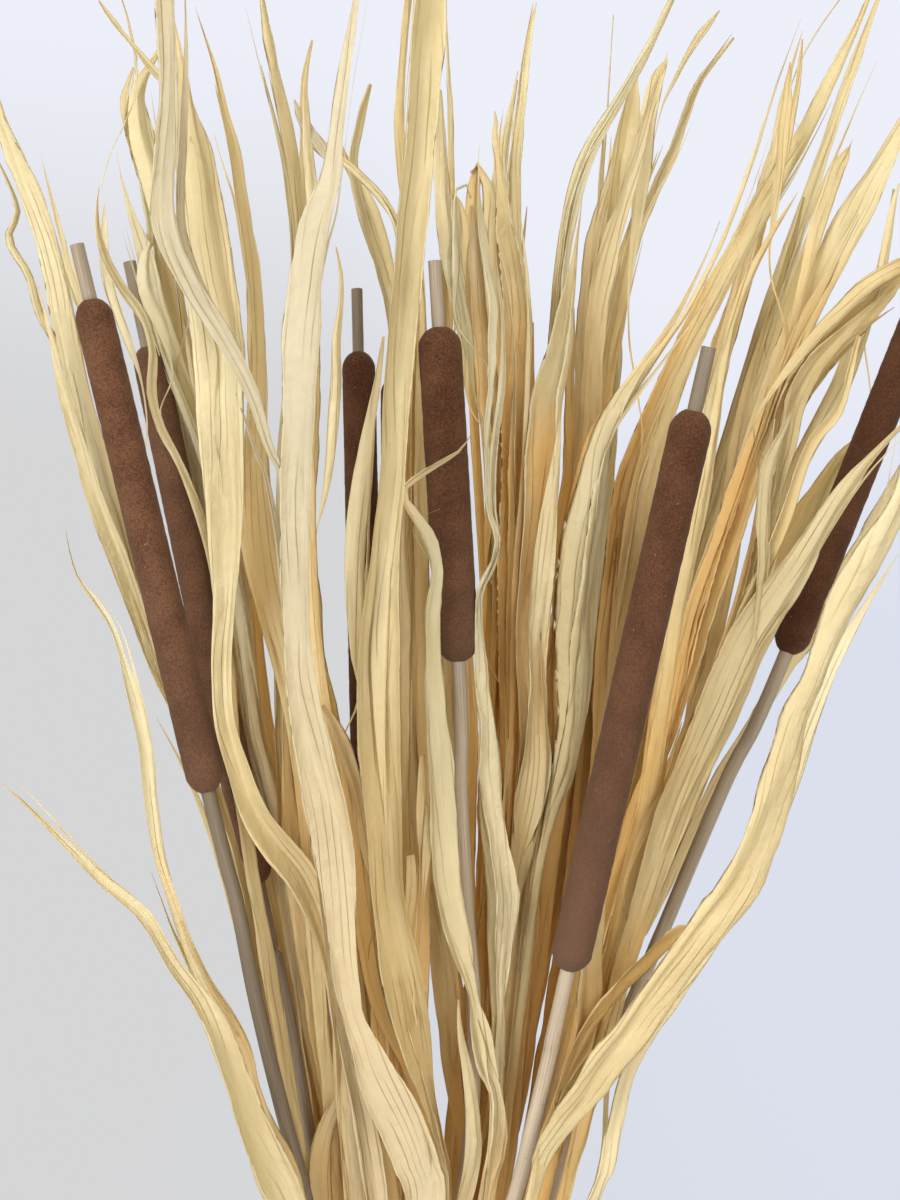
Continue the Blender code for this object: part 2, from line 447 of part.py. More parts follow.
# ---- leaves ----

def blade_section(centre, run, width, turn, keel_side):
    """Four corners of a keeled blade: left edge, crease's face, right edge, crease's back."""
    level = Vector((0, 1, 0)).cross(run).normalized()
    back = run.cross(level).normalized()
    across = level * math.cos(turn) + back * math.sin(turn)
    normal = run.cross(across).normalized()
    full_width = width / max(abs(math.cos(turn)), NARROWEST_TURN)
    keel = keel_side * min(LEAF_KEEL * full_width, LEAF_KEEL_MAX)
    half_thick = 0.5 * min(LEAF_THICKNESS, 0.5 * full_width)
    return [centre - across * (0.5 * full_width),
            centre + normal * (keel + half_thick),
            centre + across * (0.5 * full_width),
            centre + normal * (keel - half_thick)]


def loft_blade(name, sections):
    """Closed solid through the four-cornered sections, foot to tip."""
    shape = bmesh.new()
    rings = [[shape.verts.new(corner * MM) for corner in section] for section in sections]
    for low, high in zip(rings, rings[1:]):
        left, face, right, rear = low
        left_up, face_up, right_up, rear_up = high
        for corners in ((left, face, face_up), (left, face_up, left_up),
                        (face, right, right_up), (face, right_up, face_up),
                        (right, rear, right_up), (rear, rear_up, right_up),
                        (rear, left, rear_up), (left, left_up, rear_up)):
            shape.faces.new(corners)
    for left, face, right, rear in (rings[0], rings[-1]):
        shape.faces.new((left, face, rear))
        shape.faces.new((face, right, rear))
    bmesh.ops.recalc_face_normals(shape, faces=shape.faces)
    mesh = bpy.data.meshes.new(name)
    shape.to_mesh(mesh)
    shape.free()
    mesh.shade_smooth()
    mesh.set_sharp_from_angle(angle=math.radians(35))
    return mesh


def build_leaf(entry, order, collection):
    name, row, rim_x, turn_low, turn_tip, sway, finish, blade = entry
    places = [in_the_vase(rim_x, row, VASE_FLOOR + GAP), in_the_vase(rim_x, row, VASE_HEIGHT)]
    widths = [LEAF_FOOT_WIDTH, LEAF_RIM_WIDTH]
    turns = [0.0, 0.0]
    lowest, highest = blade[0][1], blade[-1][1]
    for x, z, width in blade:
        share = (z - lowest) / (highest - lowest)
        place = on_sight_line(x, z, row, sway * share ** 2)
        places.append(place)
        widths.append(width * (1.0 + place.y / VIEW_DISTANCE))
        turns.append(math.radians(turn_low + (turn_tip - turn_low) * share))
    keel_side = 1 if order % 2 else -1
    foot = places[0]
    sections = []
    for i, place in enumerate(places):
        before = places[max(i - 1, 0)]
        after = places[min(i + 1, len(places) - 1)]
        run = (after - before).normalized()
        sections.append(blade_section(place - foot, run, widths[i], turns[i], keel_side))
    leaf = add_object(name, loft_blade(name, sections), collection, finish)
    leaf.location = foot * MM


def main():
    clear_scene()
    bunch = new_collection(BUNCH_NAME)
    build_vase(bunch)
    for entry in BULRUSHES:
        build_bulrush(entry, bunch)
    for order, entry in enumerate(LEAVES):
        build_leaf(entry, order, bunch)


main()
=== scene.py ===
import bpy
import bmesh
import json
import math
import random
import numpy as np
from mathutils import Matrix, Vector


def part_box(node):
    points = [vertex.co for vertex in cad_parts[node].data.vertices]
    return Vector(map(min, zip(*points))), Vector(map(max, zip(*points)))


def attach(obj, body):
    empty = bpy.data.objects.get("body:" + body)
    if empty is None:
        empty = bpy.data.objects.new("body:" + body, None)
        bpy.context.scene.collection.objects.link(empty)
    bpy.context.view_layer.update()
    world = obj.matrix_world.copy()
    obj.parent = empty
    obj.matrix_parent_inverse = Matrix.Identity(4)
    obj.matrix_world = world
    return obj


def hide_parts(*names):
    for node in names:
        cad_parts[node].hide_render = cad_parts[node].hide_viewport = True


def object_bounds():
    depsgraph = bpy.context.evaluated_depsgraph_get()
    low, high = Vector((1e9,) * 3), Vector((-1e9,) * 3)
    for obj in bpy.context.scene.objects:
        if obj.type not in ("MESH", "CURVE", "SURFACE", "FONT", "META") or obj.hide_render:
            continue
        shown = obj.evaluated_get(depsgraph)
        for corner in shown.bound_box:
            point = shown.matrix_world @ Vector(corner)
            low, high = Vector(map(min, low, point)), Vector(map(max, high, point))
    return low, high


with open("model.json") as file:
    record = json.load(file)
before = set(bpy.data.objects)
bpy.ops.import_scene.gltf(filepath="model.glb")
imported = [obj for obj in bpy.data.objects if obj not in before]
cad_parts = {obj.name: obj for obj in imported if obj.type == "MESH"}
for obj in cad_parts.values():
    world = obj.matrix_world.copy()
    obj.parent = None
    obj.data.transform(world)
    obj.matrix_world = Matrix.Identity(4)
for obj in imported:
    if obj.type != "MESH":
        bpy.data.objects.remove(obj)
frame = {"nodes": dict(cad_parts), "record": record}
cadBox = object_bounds()
print("frame loaded:", len(frame["nodes"]), "nodes")

mm = 0.001
eye = {"x": 8 * mm, "distance": 600 * mm, "z": 545 * mm, "lens": 50}


# small helpers for node trees

def connect(step, inputs):
    # links the values that are sockets and sets the others
    for name, value in inputs.items():
        if isinstance(value, bpy.types.NodeSocket):
            step.id_data.links.new(value, step.inputs[name])
        else:
            step.inputs[name].default_value = value


def addNode(tree, kind, inputs=None, **settings):
    step = tree.nodes.new(kind)
    for name, value in settings.items():
        setattr(step, name, value)
    connect(step, inputs or {})
    return step


def treeOf(values):
    # the node tree of the first socket among the values
    return next(value.id_data for value in values if isinstance(value, bpy.types.NodeSocket))


def calc(operation, *values, clamp=False):
    inputs = dict(enumerate(values))
    step = addNode(treeOf(values), "ShaderNodeMath", inputs, operation=operation, use_clamp=clamp)
    return step.outputs[0]


def chain(operation, values, clamp):
    result = values[0]
    for value in values[1:]:
        result = calc(operation, result, value)
    result.node.use_clamp = clamp
    return result


def plus(*values, clamp=False):
    return chain("ADD", values, clamp)


def minus(*values, clamp=False):
    return chain("SUBTRACT", values, clamp)


def times(*values, clamp=False):
    return chain("MULTIPLY", values, clamp)


def over(*values, clamp=False):
    return chain("DIVIDE", values, clamp)


def vecCalc(operation, first, second=None):
    inputs = {0: first} if second is None else {0: first, 1: second}
    if operation == "SCALE":
        inputs = {0: first, 3: second}
    step = addNode(first.id_data, "ShaderNodeVectorMath", inputs, operation=operation)
    return step.outputs["Value" if operation in ("LENGTH", "DOT_PRODUCT") else "Vector"]


def joinXyz(*values):
    return addNode(treeOf(values), "ShaderNodeCombineXYZ", dict(enumerate(values))).outputs[0]


def splitXyz(vector):
    return addNode(vector.id_data, "ShaderNodeSeparateXYZ", {0: vector}).outputs


def noiseOf(vector, scale, detail, roughness=0.5):
    return addNode(vector.id_data, "ShaderNodeTexNoise", {
        "Vector": vector, "Scale": scale, "Detail": detail, "Roughness": roughness}).outputs


def centred(value, size):
    # a noise value from 0 to 1, set to go as far below nought as above it
    return times(minus(value, 0.5), size)


def newTree(name, kind, inputs, outputs):
    tree = bpy.data.node_groups.new(name, kind)
    for way, sockets in (("INPUT", inputs), ("OUTPUT", outputs)):
        for label, socketType, value in sockets:
            socket = tree.interface.new_socket(name=label, in_out=way, socket_type=socketType)
            if value is not None:
                socket.default_value = value
    start = tree.nodes.new("NodeGroupInput")
    end = tree.nodes.new("NodeGroupOutput")
    return tree, start.outputs, end


def newShapeTree(name, source, settings, seed):
    # a geometry tree with an input for each setting, a seed and a finish
    kinds = {int: "NodeSocketInt", float: "NodeSocketFloat"}
    inputs = [(source, "NodeSocketGeometry", None)]
    inputs += [(label, kinds[type(value)], value) for label, value in settings.items()]
    inputs += [("Seed", kinds[type(seed)], seed), ("Finish", "NodeSocketMaterial", None)]
    return newTree(name, "GeometryNodeTree", inputs, [("Shape", "NodeSocketGeometry", None)])


def keepOn(geometry, name, value, kind="FLOAT", domain="POINT"):
    store = addNode(geometry.id_data, "GeometryNodeStoreNamedAttribute",
                    {0: geometry, "Name": name}, data_type=kind, domain=domain)
    connect(store, {"Value": value})
    return store.outputs[0]


def readBack(tree, name, kind="FLOAT"):
    return addNode(tree, "GeometryNodeInputNamedAttribute", {"Name": name},
                   data_type=kind).outputs[0]


def smoothLine(tree, strips, spacing):
    line = addNode(tree, "GeometryNodeMeshToCurve", {0: strips}).outputs[0]
    line = addNode(tree, "GeometryNodeCurveSplineType", {0: line},
                   spline_type="CATMULL_ROM").outputs[0]
    return addNode(tree, "GeometryNodeResampleCurve", {0: line, "Length": spacing},
                   mode="LENGTH").outputs[0]


def circleOf(tree, count):
    return addNode(tree, "GeometryNodeCurvePrimitiveCircle", {"Resolution": count, "Radius": 1.0},
                   mode="RADIUS").outputs[0]


def inFinish(geometry, finish):
    # realised, and in its material
    tree = geometry.id_data
    geometry = addNode(tree, "GeometryNodeRealizeInstances", {0: geometry}).outputs[0]
    return addNode(tree, "GeometryNodeSetMaterial", {0: geometry, "Material": finish}).outputs[0]


def addObject(name, data):
    item = bpy.data.objects.new(name, data)
    bpy.context.scene.collection.objects.link(item)
    return item


def polylines(name, strips):
    # strips: lists of points, each a dictionary of co and of the vectors kept on it
    mesh = bpy.data.meshes.new(name)
    points = [point for strip in strips for point in strip]
    edges, first = [], 0
    for strip in strips:
        edges += [(first + i, first + i + 1) for i in range(len(strip) - 1)]
        first += len(strip)
    mesh.from_pydata([point["co"] for point in points], edges, [])
    for key in points[0]:
        if key != "co":
            kept = mesh.attributes.new(key, "FLOAT_VECTOR", "POINT")
            kept.data.foreach_set("vector", [v for point in points for v in point[key]])
    return addObject(name, mesh)


def runTree(item, tree, values):
    # puts the tree on the object with these named values
    modifier = item.modifiers.new(tree.name, "NODES")
    modifier.node_group = tree
    for socket in tree.interface.items_tree:
        if socket.in_out == "INPUT" and socket.name in values:
            modifier[socket.identifier] = values[socket.name]


def settle(item, dropped=()):
    # turns the modifiers' result into a plain mesh on the object
    graph = bpy.context.evaluated_depsgraph_get()
    mesh = bpy.data.meshes.new_from_object(item.evaluated_get(graph), depsgraph=graph)
    item.modifiers.clear()
    old, item.data = item.data, mesh
    bpy.data.meshes.remove(old)
    mesh.name = item.name
    for name in dropped:
        if name in mesh.attributes:
            mesh.attributes.remove(mesh.attributes[name])
    keepInBox(mesh)


def keepInBox(mesh):
    co = np.empty(len(mesh.vertices) * 3, np.float32)
    mesh.vertices.foreach_get("co", co)
    low, high = np.array(cadBox[0]) + 0.1 * mm, np.array(cadBox[1]) - 0.1 * mm
    mesh.vertices.foreach_set("co", np.clip(co.reshape(-1, 3), low, high).ravel())
    mesh.update()


def turnedMesh(name, profile, sides, merge, inward=False):
    # a profile of (radius, height) spun round the upright axis
    shape = bmesh.new()
    points = [shape.verts.new((radius, 0, height)) for radius, height in profile]
    edges = [shape.edges.new(pair) for pair in zip(points, points[1:])]
    bmesh.ops.spin(shape, geom=points + edges, axis=(0, 0, 1), cent=(0, 0, 0),
                   steps=sides, angle=2 * math.pi)
    bmesh.ops.remove_doubles(shape, verts=shape.verts, dist=merge)
    bmesh.ops.recalc_face_normals(shape, faces=shape.faces)
    if inward:
        bmesh.ops.reverse_faces(shape, faces=shape.faces)
    mesh = bpy.data.meshes.new(name)
    shape.to_mesh(mesh)
    shape.free()
    for face in mesh.polygons:
        face.use_smooth = True
    return mesh


# rings of the solids, read from foot to tip

def readRings(nodeName, perRing):
    solid = bmesh.new()
    solid.from_mesh(frame["nodes"][nodeName].data)
    bmesh.ops.remove_doubles(solid, verts=solid.verts, dist=0.01 * mm)
    solid.verts.index_update()
    ring = sorted(solid.verts, key=lambda v: v.co.z)[:perRing]
    seen, rings = set(ring), []
    while ring:
        rings.append([v.co.copy() for v in ring])
        around = {edge.other_vert(v) for v in ring for edge in v.link_edges}
        ring = sorted(around - seen, key=lambda v: v.index)
        seen |= around
    solid.free()
    return rings


def bladeRings(nodeName):
    # centre, half width vector, facing and relative fold of each ring of a leaf
    found, across, facing = [], None, None
    for ring in readRings(nodeName, 4):
        pairs = [(a, b) for i, a in enumerate(ring) for b in ring[i + 1:]]
        if across is None:
            left, right = max(pairs, key=lambda p: (p[1] - p[0]).length)
        else:
            left, right = max(pairs, key=lambda p: abs((p[1] - p[0]).dot(across)))
        if (right - left).dot(across or Vector((1, 0, 0))) < 0:
            left, right = right, left
        front, rear = [co for co in ring if co is not left and co is not right]
        if (front - rear).dot(facing or Vector((0, -1, 0))) < 0:
            front, rear = rear, front
        half = 0.5 * (right - left)
        centre = 0.5 * (left + right)
        across, facing = half.normalized(), (front - rear).normalized()
        fold = (0.5 * (front + rear) - centre).dot(facing) / max(half.length, 0.3 * mm)
        found.append({"centre": centre, "half": half, "facing": facing, "fold": fold})
    return found


# leaves: one tree makes every blade, torn strip and sliver from its line of points

bladeSettings = {
    "Point Spacing": 4.2 * mm,
    "Round Broad": 40,
    "Round Middling": 20,
    "Round Narrow": 8,
    "Sheet": 0.28 * mm,
    "Rib Depth": 0.14 * mm,
    "Ruffle": 2.2 * mm,
    "Ruffle Pitch": 24 * mm,
    "Crumple": 1.05 * mm,
    "Waver": 1.2 * mm,
    "Ragged": 0.15,
    "Crease": 0.65,
}
# the leaves nearest to the eye are smoother; each with its finish and tone
nearSettings = {"Crease": 0.55, "Crumple": 0.9 * mm, "Rib Depth": 0.17 * mm}
nearPaint = {
    "near_left_leaf": ("near", 0.25),
    "near_centre_leaf": ("straw", 0.45),
    "near_middle_leaf": ("near", -0.10),
    "near_right_leaf": ("straw", 0.25),
}
# half width from which a strip gets each roundness of section
sectionLimits = {"Round Broad": 4.2 * mm, "Round Middling": 1.6 * mm, "Round Narrow": 0}
# sizes and strengths of the waves, dents, creases, rolled edges, nicks and sway
leafForm = {
    "full": 4.5 * mm,  # the half width from which waves and folds have their whole height
    "dentAcross": 3.4 * mm,
    "dentAlong": 13 * mm,
    "creases": ((8.0, 1.0), (17.0, 0.45)),  # pace of the drift along a metre, and strength
    "creaseTop": 0.9,
    "rollStart": 0.5,
    "rollHeight": 0.75,
    "rollDraw": -0.35,
    "nicks": 75.0,
    "sways": 11.0,
    "swayWays": (1.0, 2.6, 0.0),
    "thinnest": 0.3,
}


def makeBladeTree():
    form = leafForm
    tree, inp, end = newShapeTree("dry leaf blades", "Strips", bladeSettings, 3.0)

    # the line: smooth, evenly divided, its own place kept on it
    line = smoothLine(tree, inp["Strips"], inp["Point Spacing"])
    along = addNode(tree, "GeometryNodeSplineParameter").outputs
    place = addNode(tree, "GeometryNodeInputPosition").outputs[0]
    line = keepOn(line, "centre", place, "FLOAT_VECTOR")
    line = keepOn(line, "run", along["Length"])
    line = keepOn(line, "share", along["Factor"])

    # the section: a closed loop, out along one face (side 1 to -1) and back along the other
    breadth = splitXyz(readBack(tree, "strip", "FLOAT_VECTOR"))[2]
    sheets = addNode(tree, "GeometryNodeJoinGeometry")
    for count, limit in sectionLimits.items():
        picked = addNode(tree, "GeometryNodeSeparateGeometry", {
            0: line, 1: calc("GREATER_THAN", breadth, limit)}, domain="CURVE").outputs
        there = calc("ABSOLUTE", calc("MULTIPLY_ADD", along["Factor"], 4.0, -2.0))
        loop = keepOn(circleOf(tree, inp[count]), "side", minus(there, 1.0))
        face = times(calc("SINE", times(along["Factor"], 2 * math.pi)), 4.0)
        loop = keepOn(loop, "skin", calc("MAXIMUM", calc("MINIMUM", face, 1.0), -1.0))
        swept = addNode(tree, "GeometryNodeCurveToMesh",
                        {0: picked[0], 1: loop, "Fill Caps": True}).outputs[0]
        connect(sheets, {0: swept})
        line = picked[1]

    side, skin, run, share = (readBack(tree, name) for name in ("side", "skin", "run", "share"))
    centre, across, facing = (readBack(tree, name, "FLOAT_VECTOR")
                              for name in ("centre", "across", "facing"))
    cup, roll, ribs = splitXyz(readBack(tree, "shape", "FLOAT_VECTOR"))
    number, tone = splitXyz(readBack(tree, "strip", "FLOAT_VECTOR"))[:2]
    half = vecCalc("LENGTH", across)
    sideways = vecCalc("NORMALIZE", across)
    leaning = vecCalc("SCALE", sideways, vecCalc("DOT_PRODUCT", facing, sideways))
    outward = vecCalc("NORMALIZE", vecCalc("SUBTRACT", facing, leaning))
    number = plus(number, inp["Seed"])
    offEdge = calc("ABSOLUTE", side)
    side2 = times(side, side)
    broad = over(half, form["full"], clamp=True)
    waveSeed, ribSeed, nickSeed, dentSeed = (times(number, k) for k in (7.31, 2.03, 5.03, 3.17))

    # edges wave, each its own way
    wave = joinXyz(over(run, inp["Ruffle Pitch"]), times(side, 0.9), waveSeed)
    wave = centred(noiseOf(wave, 1.0, 2.0, 0.45)[0], 2.6)
    wave = times(wave, calc("MULTIPLY_ADD", side2, 0.8, 0.2), broad, inp["Ruffle"])

    # papery dents, a few millimetres across and longer than they are wide
    dent = joinXyz(over(times(side, half), form["dentAcross"]), over(run, form["dentAlong"]), dentSeed)
    dent = times(centred(noiseOf(dent, 1.0, 2.0, 0.6)[0], 2.2), times(inp["Crumple"], broad))

    # uneven lengthwise ribs, and two sharp creases that drift across the blade
    rib = noiseOf(joinXyz(times(side, ribs), times(run, 5.0), ribSeed), 1.0, 1.6)[0]
    rib = times(centred(rib, 4.0), inp["Rib Depth"], times(broad, broad))
    creases = 0.0
    for pace, strength in form["creases"]:
        drift = noiseOf(joinXyz(times(run, pace), number, pace), 1.0, 1.0)["Color"]
        drift = splitXyz(drift)
        crease = calc("ABSOLUTE", minus(side, centred(drift[0], 3.0)))
        crease = calc("SMOOTH_MIN", crease, form["creaseTop"], 0.15)
        lean = calc("SINE", calc("MULTIPLY_ADD", number, 4.7, centred(drift[1], 5.0)))
        creases = plus(creases, times(crease, half, lean, broad, strength, inp["Crease"]))

    # cup, and edges that roll over and are nicked
    cupping = times(cup, half, minus(1.0, side2))
    past = times(calc("MAXIMUM", minus(offEdge, form["rollStart"]), 0.0), 2.0)
    past = times(past, past)
    rolling = times(roll, half, past, times(broad, form["rollHeight"]))
    inward = times(calc("ABSOLUTE", roll), past, form["rollDraw"])
    nick = noiseOf(joinXyz(times(run, form["nicks"]), calc("SIGN", side), nickSeed), 1.0, 3.0, 0.6)[0]
    inward = plus(inward, times(centred(nick, 1.0), inp["Ragged"], side2))
    reach = times(side, plus(1.0, inward))

    # the whole strip sways
    sway = noiseOf(joinXyz(times(run, form["sways"]), 5.7, dentSeed), 1.0, 1.0)["Color"]
    sway = vecCalc("MULTIPLY", vecCalc("SUBTRACT", sway, (0.5, 0.5, 0.5)), form["swayWays"])
    sway = vecCalc("SCALE", sway, times(inp["Waver"], 2.0))

    # the sheet thins out on narrow strips, so that its two faces never cross
    thick = times(calc("MINIMUM", inp["Sheet"], times(half, form["thinnest"])), 0.5)
    height = plus(wave, rib, plus(cupping, rolling), plus(dent, creases), times(skin, thick))
    spot = vecCalc("ADD", centre, vecCalc("SCALE", across, reach))
    spot = vecCalc("ADD", spot, vecCalc("SCALE", outward, height))
    spot = vecCalc("ADD", spot, sway)
    sheet = addNode(tree, "GeometryNodeSetPosition", {0: sheets.outputs[0], "Position": spot}).outputs[0]
    flat = joinXyz(times(side, half), plus(run, number), 0.0)
    sheet = keepOn(sheet, "leafMap", flat, "FLOAT2", "CORNER")
    sheet = keepOn(sheet, "leafTone", joinXyz(tone, share, offEdge), "FLOAT_VECTOR")
    sheet = addNode(tree, "GeometryNodeSetShadeSmooth", {0: sheet}).outputs[0]
    connect(end, {0: inFinish(sheet, inp["Finish"])})
    return tree


# the rows of leaves stand one gap apart at the vase's rim and fan out above it, in millimetres
rowSettings = {"first": -27.5, "gap": 5.0, "rim": 235, "fan": 4.0, "fanHeight": 320, "innerFrom": 3.5}


def rowSpread(z):
    above = np.maximum(0.0, z - rowSettings["rim"])
    return 1.0 + rowSettings["fan"] * (1.0 - np.exp(-above / rowSettings["fanHeight"]))


def rowDepth(row, z):
    return (rowSettings["first"] + rowSettings["gap"] * row) * float(rowSpread(z))


def sightPoint(x, z, y):
    # the place at depth y that the eye sees at (x, z) on the middle plane, in millimetres
    reach = 1.0 + y * mm / eye["distance"]
    return Vector((eye["x"] + (x * mm - eye["x"]) * reach, y * mm,
                   eye["z"] + (z * mm - eye["z"]) * reach))


def stripTraits(chance, tone, half, ribs=None):
    number = chance.uniform(0, 50)
    widest = max(half, 0.2 * mm)
    shape = (chance.uniform(-0.3, 0.3), chance.choice((-1, 1)) * chance.uniform(0.0, 0.8),
             ribs or max(1.5, widest / (1.6 * mm)))
    return shape, (number, tone, widest)


# a loose strip whose foot stands above "from" leaves its blade this far below its foot, and one
# whose foot stands above "inView" starts narrow; heights in millimetres on the middle plane
rootSettings = {"least": 8 * mm, "usual": 26 * mm, "most": 75 * mm, "dropWeight": 0.3,
                "sideWeight": 1.8, "from": 300, "inView": 340, "narrow": 1.2}


def bladeSpine(rings):
    # places along a blade's middle, each with the way the blade runs there
    spine = []
    for a, b in zip(rings, rings[1:]):
        run = b["centre"] - a["centre"]
        if run.length > 1e-6:
            spine += [(a["centre"] + run * (step / 6), run.normalized()) for step in range(6)]
    return spine


def growFrom(points, spines):
    # carries a strip's foot down to the nearest blade on a smooth curve, so that it grows out of it
    foot, ahead = points[0]["co"], (points[1]["co"] - points[0]["co"]).normalized()
    best, start, way = math.inf, None, None
    for place, run in spines:
        drop = foot.z - place.z
        if rootSettings["least"] < drop < rootSettings["most"]:
            aside = math.hypot(rootSettings["sideWeight"] * (foot.x - place.x), foot.y - place.y)
            cost = aside + rootSettings["dropWeight"] * abs(drop - rootSettings["usual"])
            if cost < best:
                best, start, way = cost, place, run
    if start is None:
        return points
    reach = (foot - start).length
    lead = []
    for t in (0.0, 0.25, 0.5, 0.75):
        co = ((2 * t ** 3 - 3 * t ** 2 + 1) * start + (t ** 3 - 2 * t ** 2 + t) * reach * way
              + (3 * t ** 2 - 2 * t ** 3) * foot + (t ** 3 - t ** 2) * reach * ahead)
        lead.append(dict(points[0], co=co, across=points[0]["across"] * (0.4 + 0.6 * t)))
    return lead + points


def looseStrip(chance, tone, row, turns, blade):
    # a strip given as (x, z, width seen from the front), from its foot to its tip
    lowest, highest = blade[0][1], blade[-1][1]
    places = [sightPoint(x, z, rowDepth(row, z)) for x, z, width in blade]
    shape, strip = stripTraits(chance, tone, 0.5 * mm * max(width for x, z, width in blade))
    points = []
    for i, (x, z, width) in enumerate(blade):
        share = (z - lowest) / (highest - lowest)
        turn = math.radians(turns[0] + (turns[1] - turns[0]) * share)
        ahead = (places[min(i + 1, len(places) - 1)] - places[max(i - 1, 0)]).normalized()
        level = ahead.cross(Vector((0, 1, 0))).normalized()
        back = level.cross(ahead).normalized()
        if i == 0 and lowest > rootSettings["inView"]:
            width = min(width, rootSettings["narrow"])
        full = width * mm * (1 + places[i].y / eye["distance"]) / max(abs(math.cos(turn)), 0.5)
        way = -level * math.cos(turn) + back * math.sin(turn)
        way = way if way.x > 0 or abs(math.cos(turn)) < 0.2 else -way
        points.append({"co": places[i], "across": 0.5 * full * way, "facing": way.cross(ahead),
                       "shape": shape, "strip": strip})
    return points


def tornStrip(chance, rings, tone, turned, start, stop, share, shift, twist):
    # a strip torn from a leaf: it leaves it at start, drifts by shift, twists and ends in a point
    last = len(rings) - 1
    first, final = start * last, stop * last
    count = max(6, int(1.6 * (final - first)) + 2)
    shape, strip = stripTraits(chance, tone, share * max(r["half"].length for r in rings))
    pace, phase = chance.uniform(3.0, 8.0), chance.uniform(0, 6.28)
    points = []
    for i in range(count):
        t = i / (count - 1)
        spot = first + (final - first) * t
        k = min(int(spot), last - 1)
        f = spot - k
        centre, half, facing = (rings[k][key].lerp(rings[k + 1][key], f)
                                for key in ("centre", "half", "facing"))
        ahead = (rings[k + 1]["centre"] - rings[k]["centre"]).normalized()
        angle = math.radians(turned + twist * math.sin(pace * t + phase)) * min(1.0, 2.5 * t)
        way = half.normalized() * math.cos(angle) + facing.normalized() * math.sin(angle)
        if t < 0.45:
            taper = min(1.0, 0.12 + 5.0 * t)
        else:
            taper = max(0.05, 1.0 - ((t - 0.45) / 0.55) ** 1.7)
        body = max(half.length, 1.6 * mm) * share
        points.append({"co": centre + Vector(shift) * t ** 1.4, "across": way * body * taper,
                       "facing": way.cross(ahead), "shape": shape, "strip": strip})
    return points


# finishes

def makeFibreGroup():
    # dry plant skin on a map of (across, along) in metres: fine fibres, a few thin grooves that
    # come and go, and the tiny pimples between them
    tree, inp, end = newTree("dry fibres", "ShaderNodeTree", [
        ("Map", "NodeSocketVector", None), ("Groove Pitch", "NodeSocketFloat", 0.0024),
        ("Fibre Pitch", "NodeSocketFloat", 0.0004), ("Pimple Size", "NodeSocketFloat", 0.0007)],
        [("Fibres", "NodeSocketFloat", None), ("Grooves", "NodeSocketFloat", None),
         ("Height", "NodeSocketFloat", None)])
    across, along, number = splitXyz(inp["Map"])

    def noise(acrossSize, alongSize, detail, roughness=0.5):
        at = joinXyz(over(across, acrossSize), over(along, alongSize), number)
        return noiseOf(at, 1.0, detail, roughness)[0]

    fine = noise(inp["Fibre Pitch"], 20 * mm, 3.0, 0.6)
    broad = noise(2.8 * mm, 55 * mm, 2.0)
    bend = noise(12 * mm, 70 * mm, 1.0)
    presence = noise(5 * mm, 45 * mm, 1.0)
    pimples = noise(inp["Pimple Size"], times(inp["Pimple Size"], 1.5), 1.0)
    ladder = plus(over(across, inp["Groove Pitch"]), times(bend, 3.0))
    ladder = calc("ABSOLUTE", minus(calc("FRACT", ladder), 0.5))
    there = times(minus(presence, 0.42), 6.0, clamp=True)
    groove = times(minus(1.0, over(ladder, 0.085), clamp=True), there)
    fibres = calc("MULTIPLY_ADD", minus(fine, 0.5), 0.8, broad, clamp=True)
    height = plus(times(groove, -1.2), times(pimples, 0.40), times(fine, 0.35))
    connect(end, {"Fibres": fibres, "Grooves": groove, "Height": height})
    return tree


def makeFleckGroup():
    # scattered small brown marks and specks
    tree, inp, end = newTree("flecks", "ShaderNodeTree", [
        ("Vector", "NodeSocketVector", None), ("Pitch", "NodeSocketFloat", 0.006),
        ("Spread", "NodeSocketFloat", 0.16)], [("Mask", "NodeSocketFloat", None)])
    at = vecCalc("SCALE", inp["Vector"], over(1.0, inp["Pitch"]))
    at = vecCalc("ADD", at, vecCalc("SCALE", noiseOf(at, 1.4, 2.0)["Color"], 0.5))
    cell = addNode(tree, "ShaderNodeTexVoronoi", {"Vector": at, "Scale": 1.0}).outputs
    near = minus(1.0, over(cell["Distance"], inp["Spread"]), clamp=True)
    rare = calc("GREATER_THAN", splitXyz(cell["Color"])[0], 0.55)
    connect(end, {"Mask": times(near, rare)})
    return tree


fibreGroup = makeFibreGroup()
fleckGroup = makeFleckGroup()


def newMaterial(name):
    material = bpy.data.materials.new(name)
    material.use_nodes = True
    return material, material.node_tree, material.node_tree.nodes["Principled BSDF"]


def useGroup(tree, group, inputs):
    return addNode(tree, "ShaderNodeGroup", inputs, node_tree=group).outputs


def objectPlace(tree):
    return addNode(tree, "ShaderNodeTexCoord").outputs["Object"]


def attributeOf(tree, name):
    return addNode(tree, "ShaderNodeAttribute", attribute_name=name).outputs


def mixColour(factor, first, second, blend="MIX"):
    # the colours are sockets, or three numbers each
    first, second = (colour if isinstance(colour, bpy.types.NodeSocket) else (*colour, 1.0)
                     for colour in (first, second))
    step = addNode(factor.id_data, "ShaderNodeMix", data_type="RGBA", blend_type=blend)
    connect(step, {0: factor, 6: first, 7: second})
    return step.outputs[2]


def rangeOf(value, low, high, toLow=0.0, toHigh=1.0):
    return addNode(value.id_data, "ShaderNodeMapRange",
                   {0: value, 1: low, 2: high, 3: toLow, 4: toHigh},
                   interpolation_type="SMOOTHSTEP").outputs[0]


def addFlecks(place, colour, pitch, spread, strength, fleck):
    marks = useGroup(place.id_data, fleckGroup, {"Vector": place, "Pitch": pitch, "Spread": spread})
    return mixColour(times(marks["Mask"], strength), colour, fleck)


def addBump(shader, height, strength, distance):
    bump = addNode(shader.id_data, "ShaderNodeBump",
                   {"Height": height, "Strength": strength, "Distance": distance})
    connect(shader, {"Normal": bump.outputs[0]})


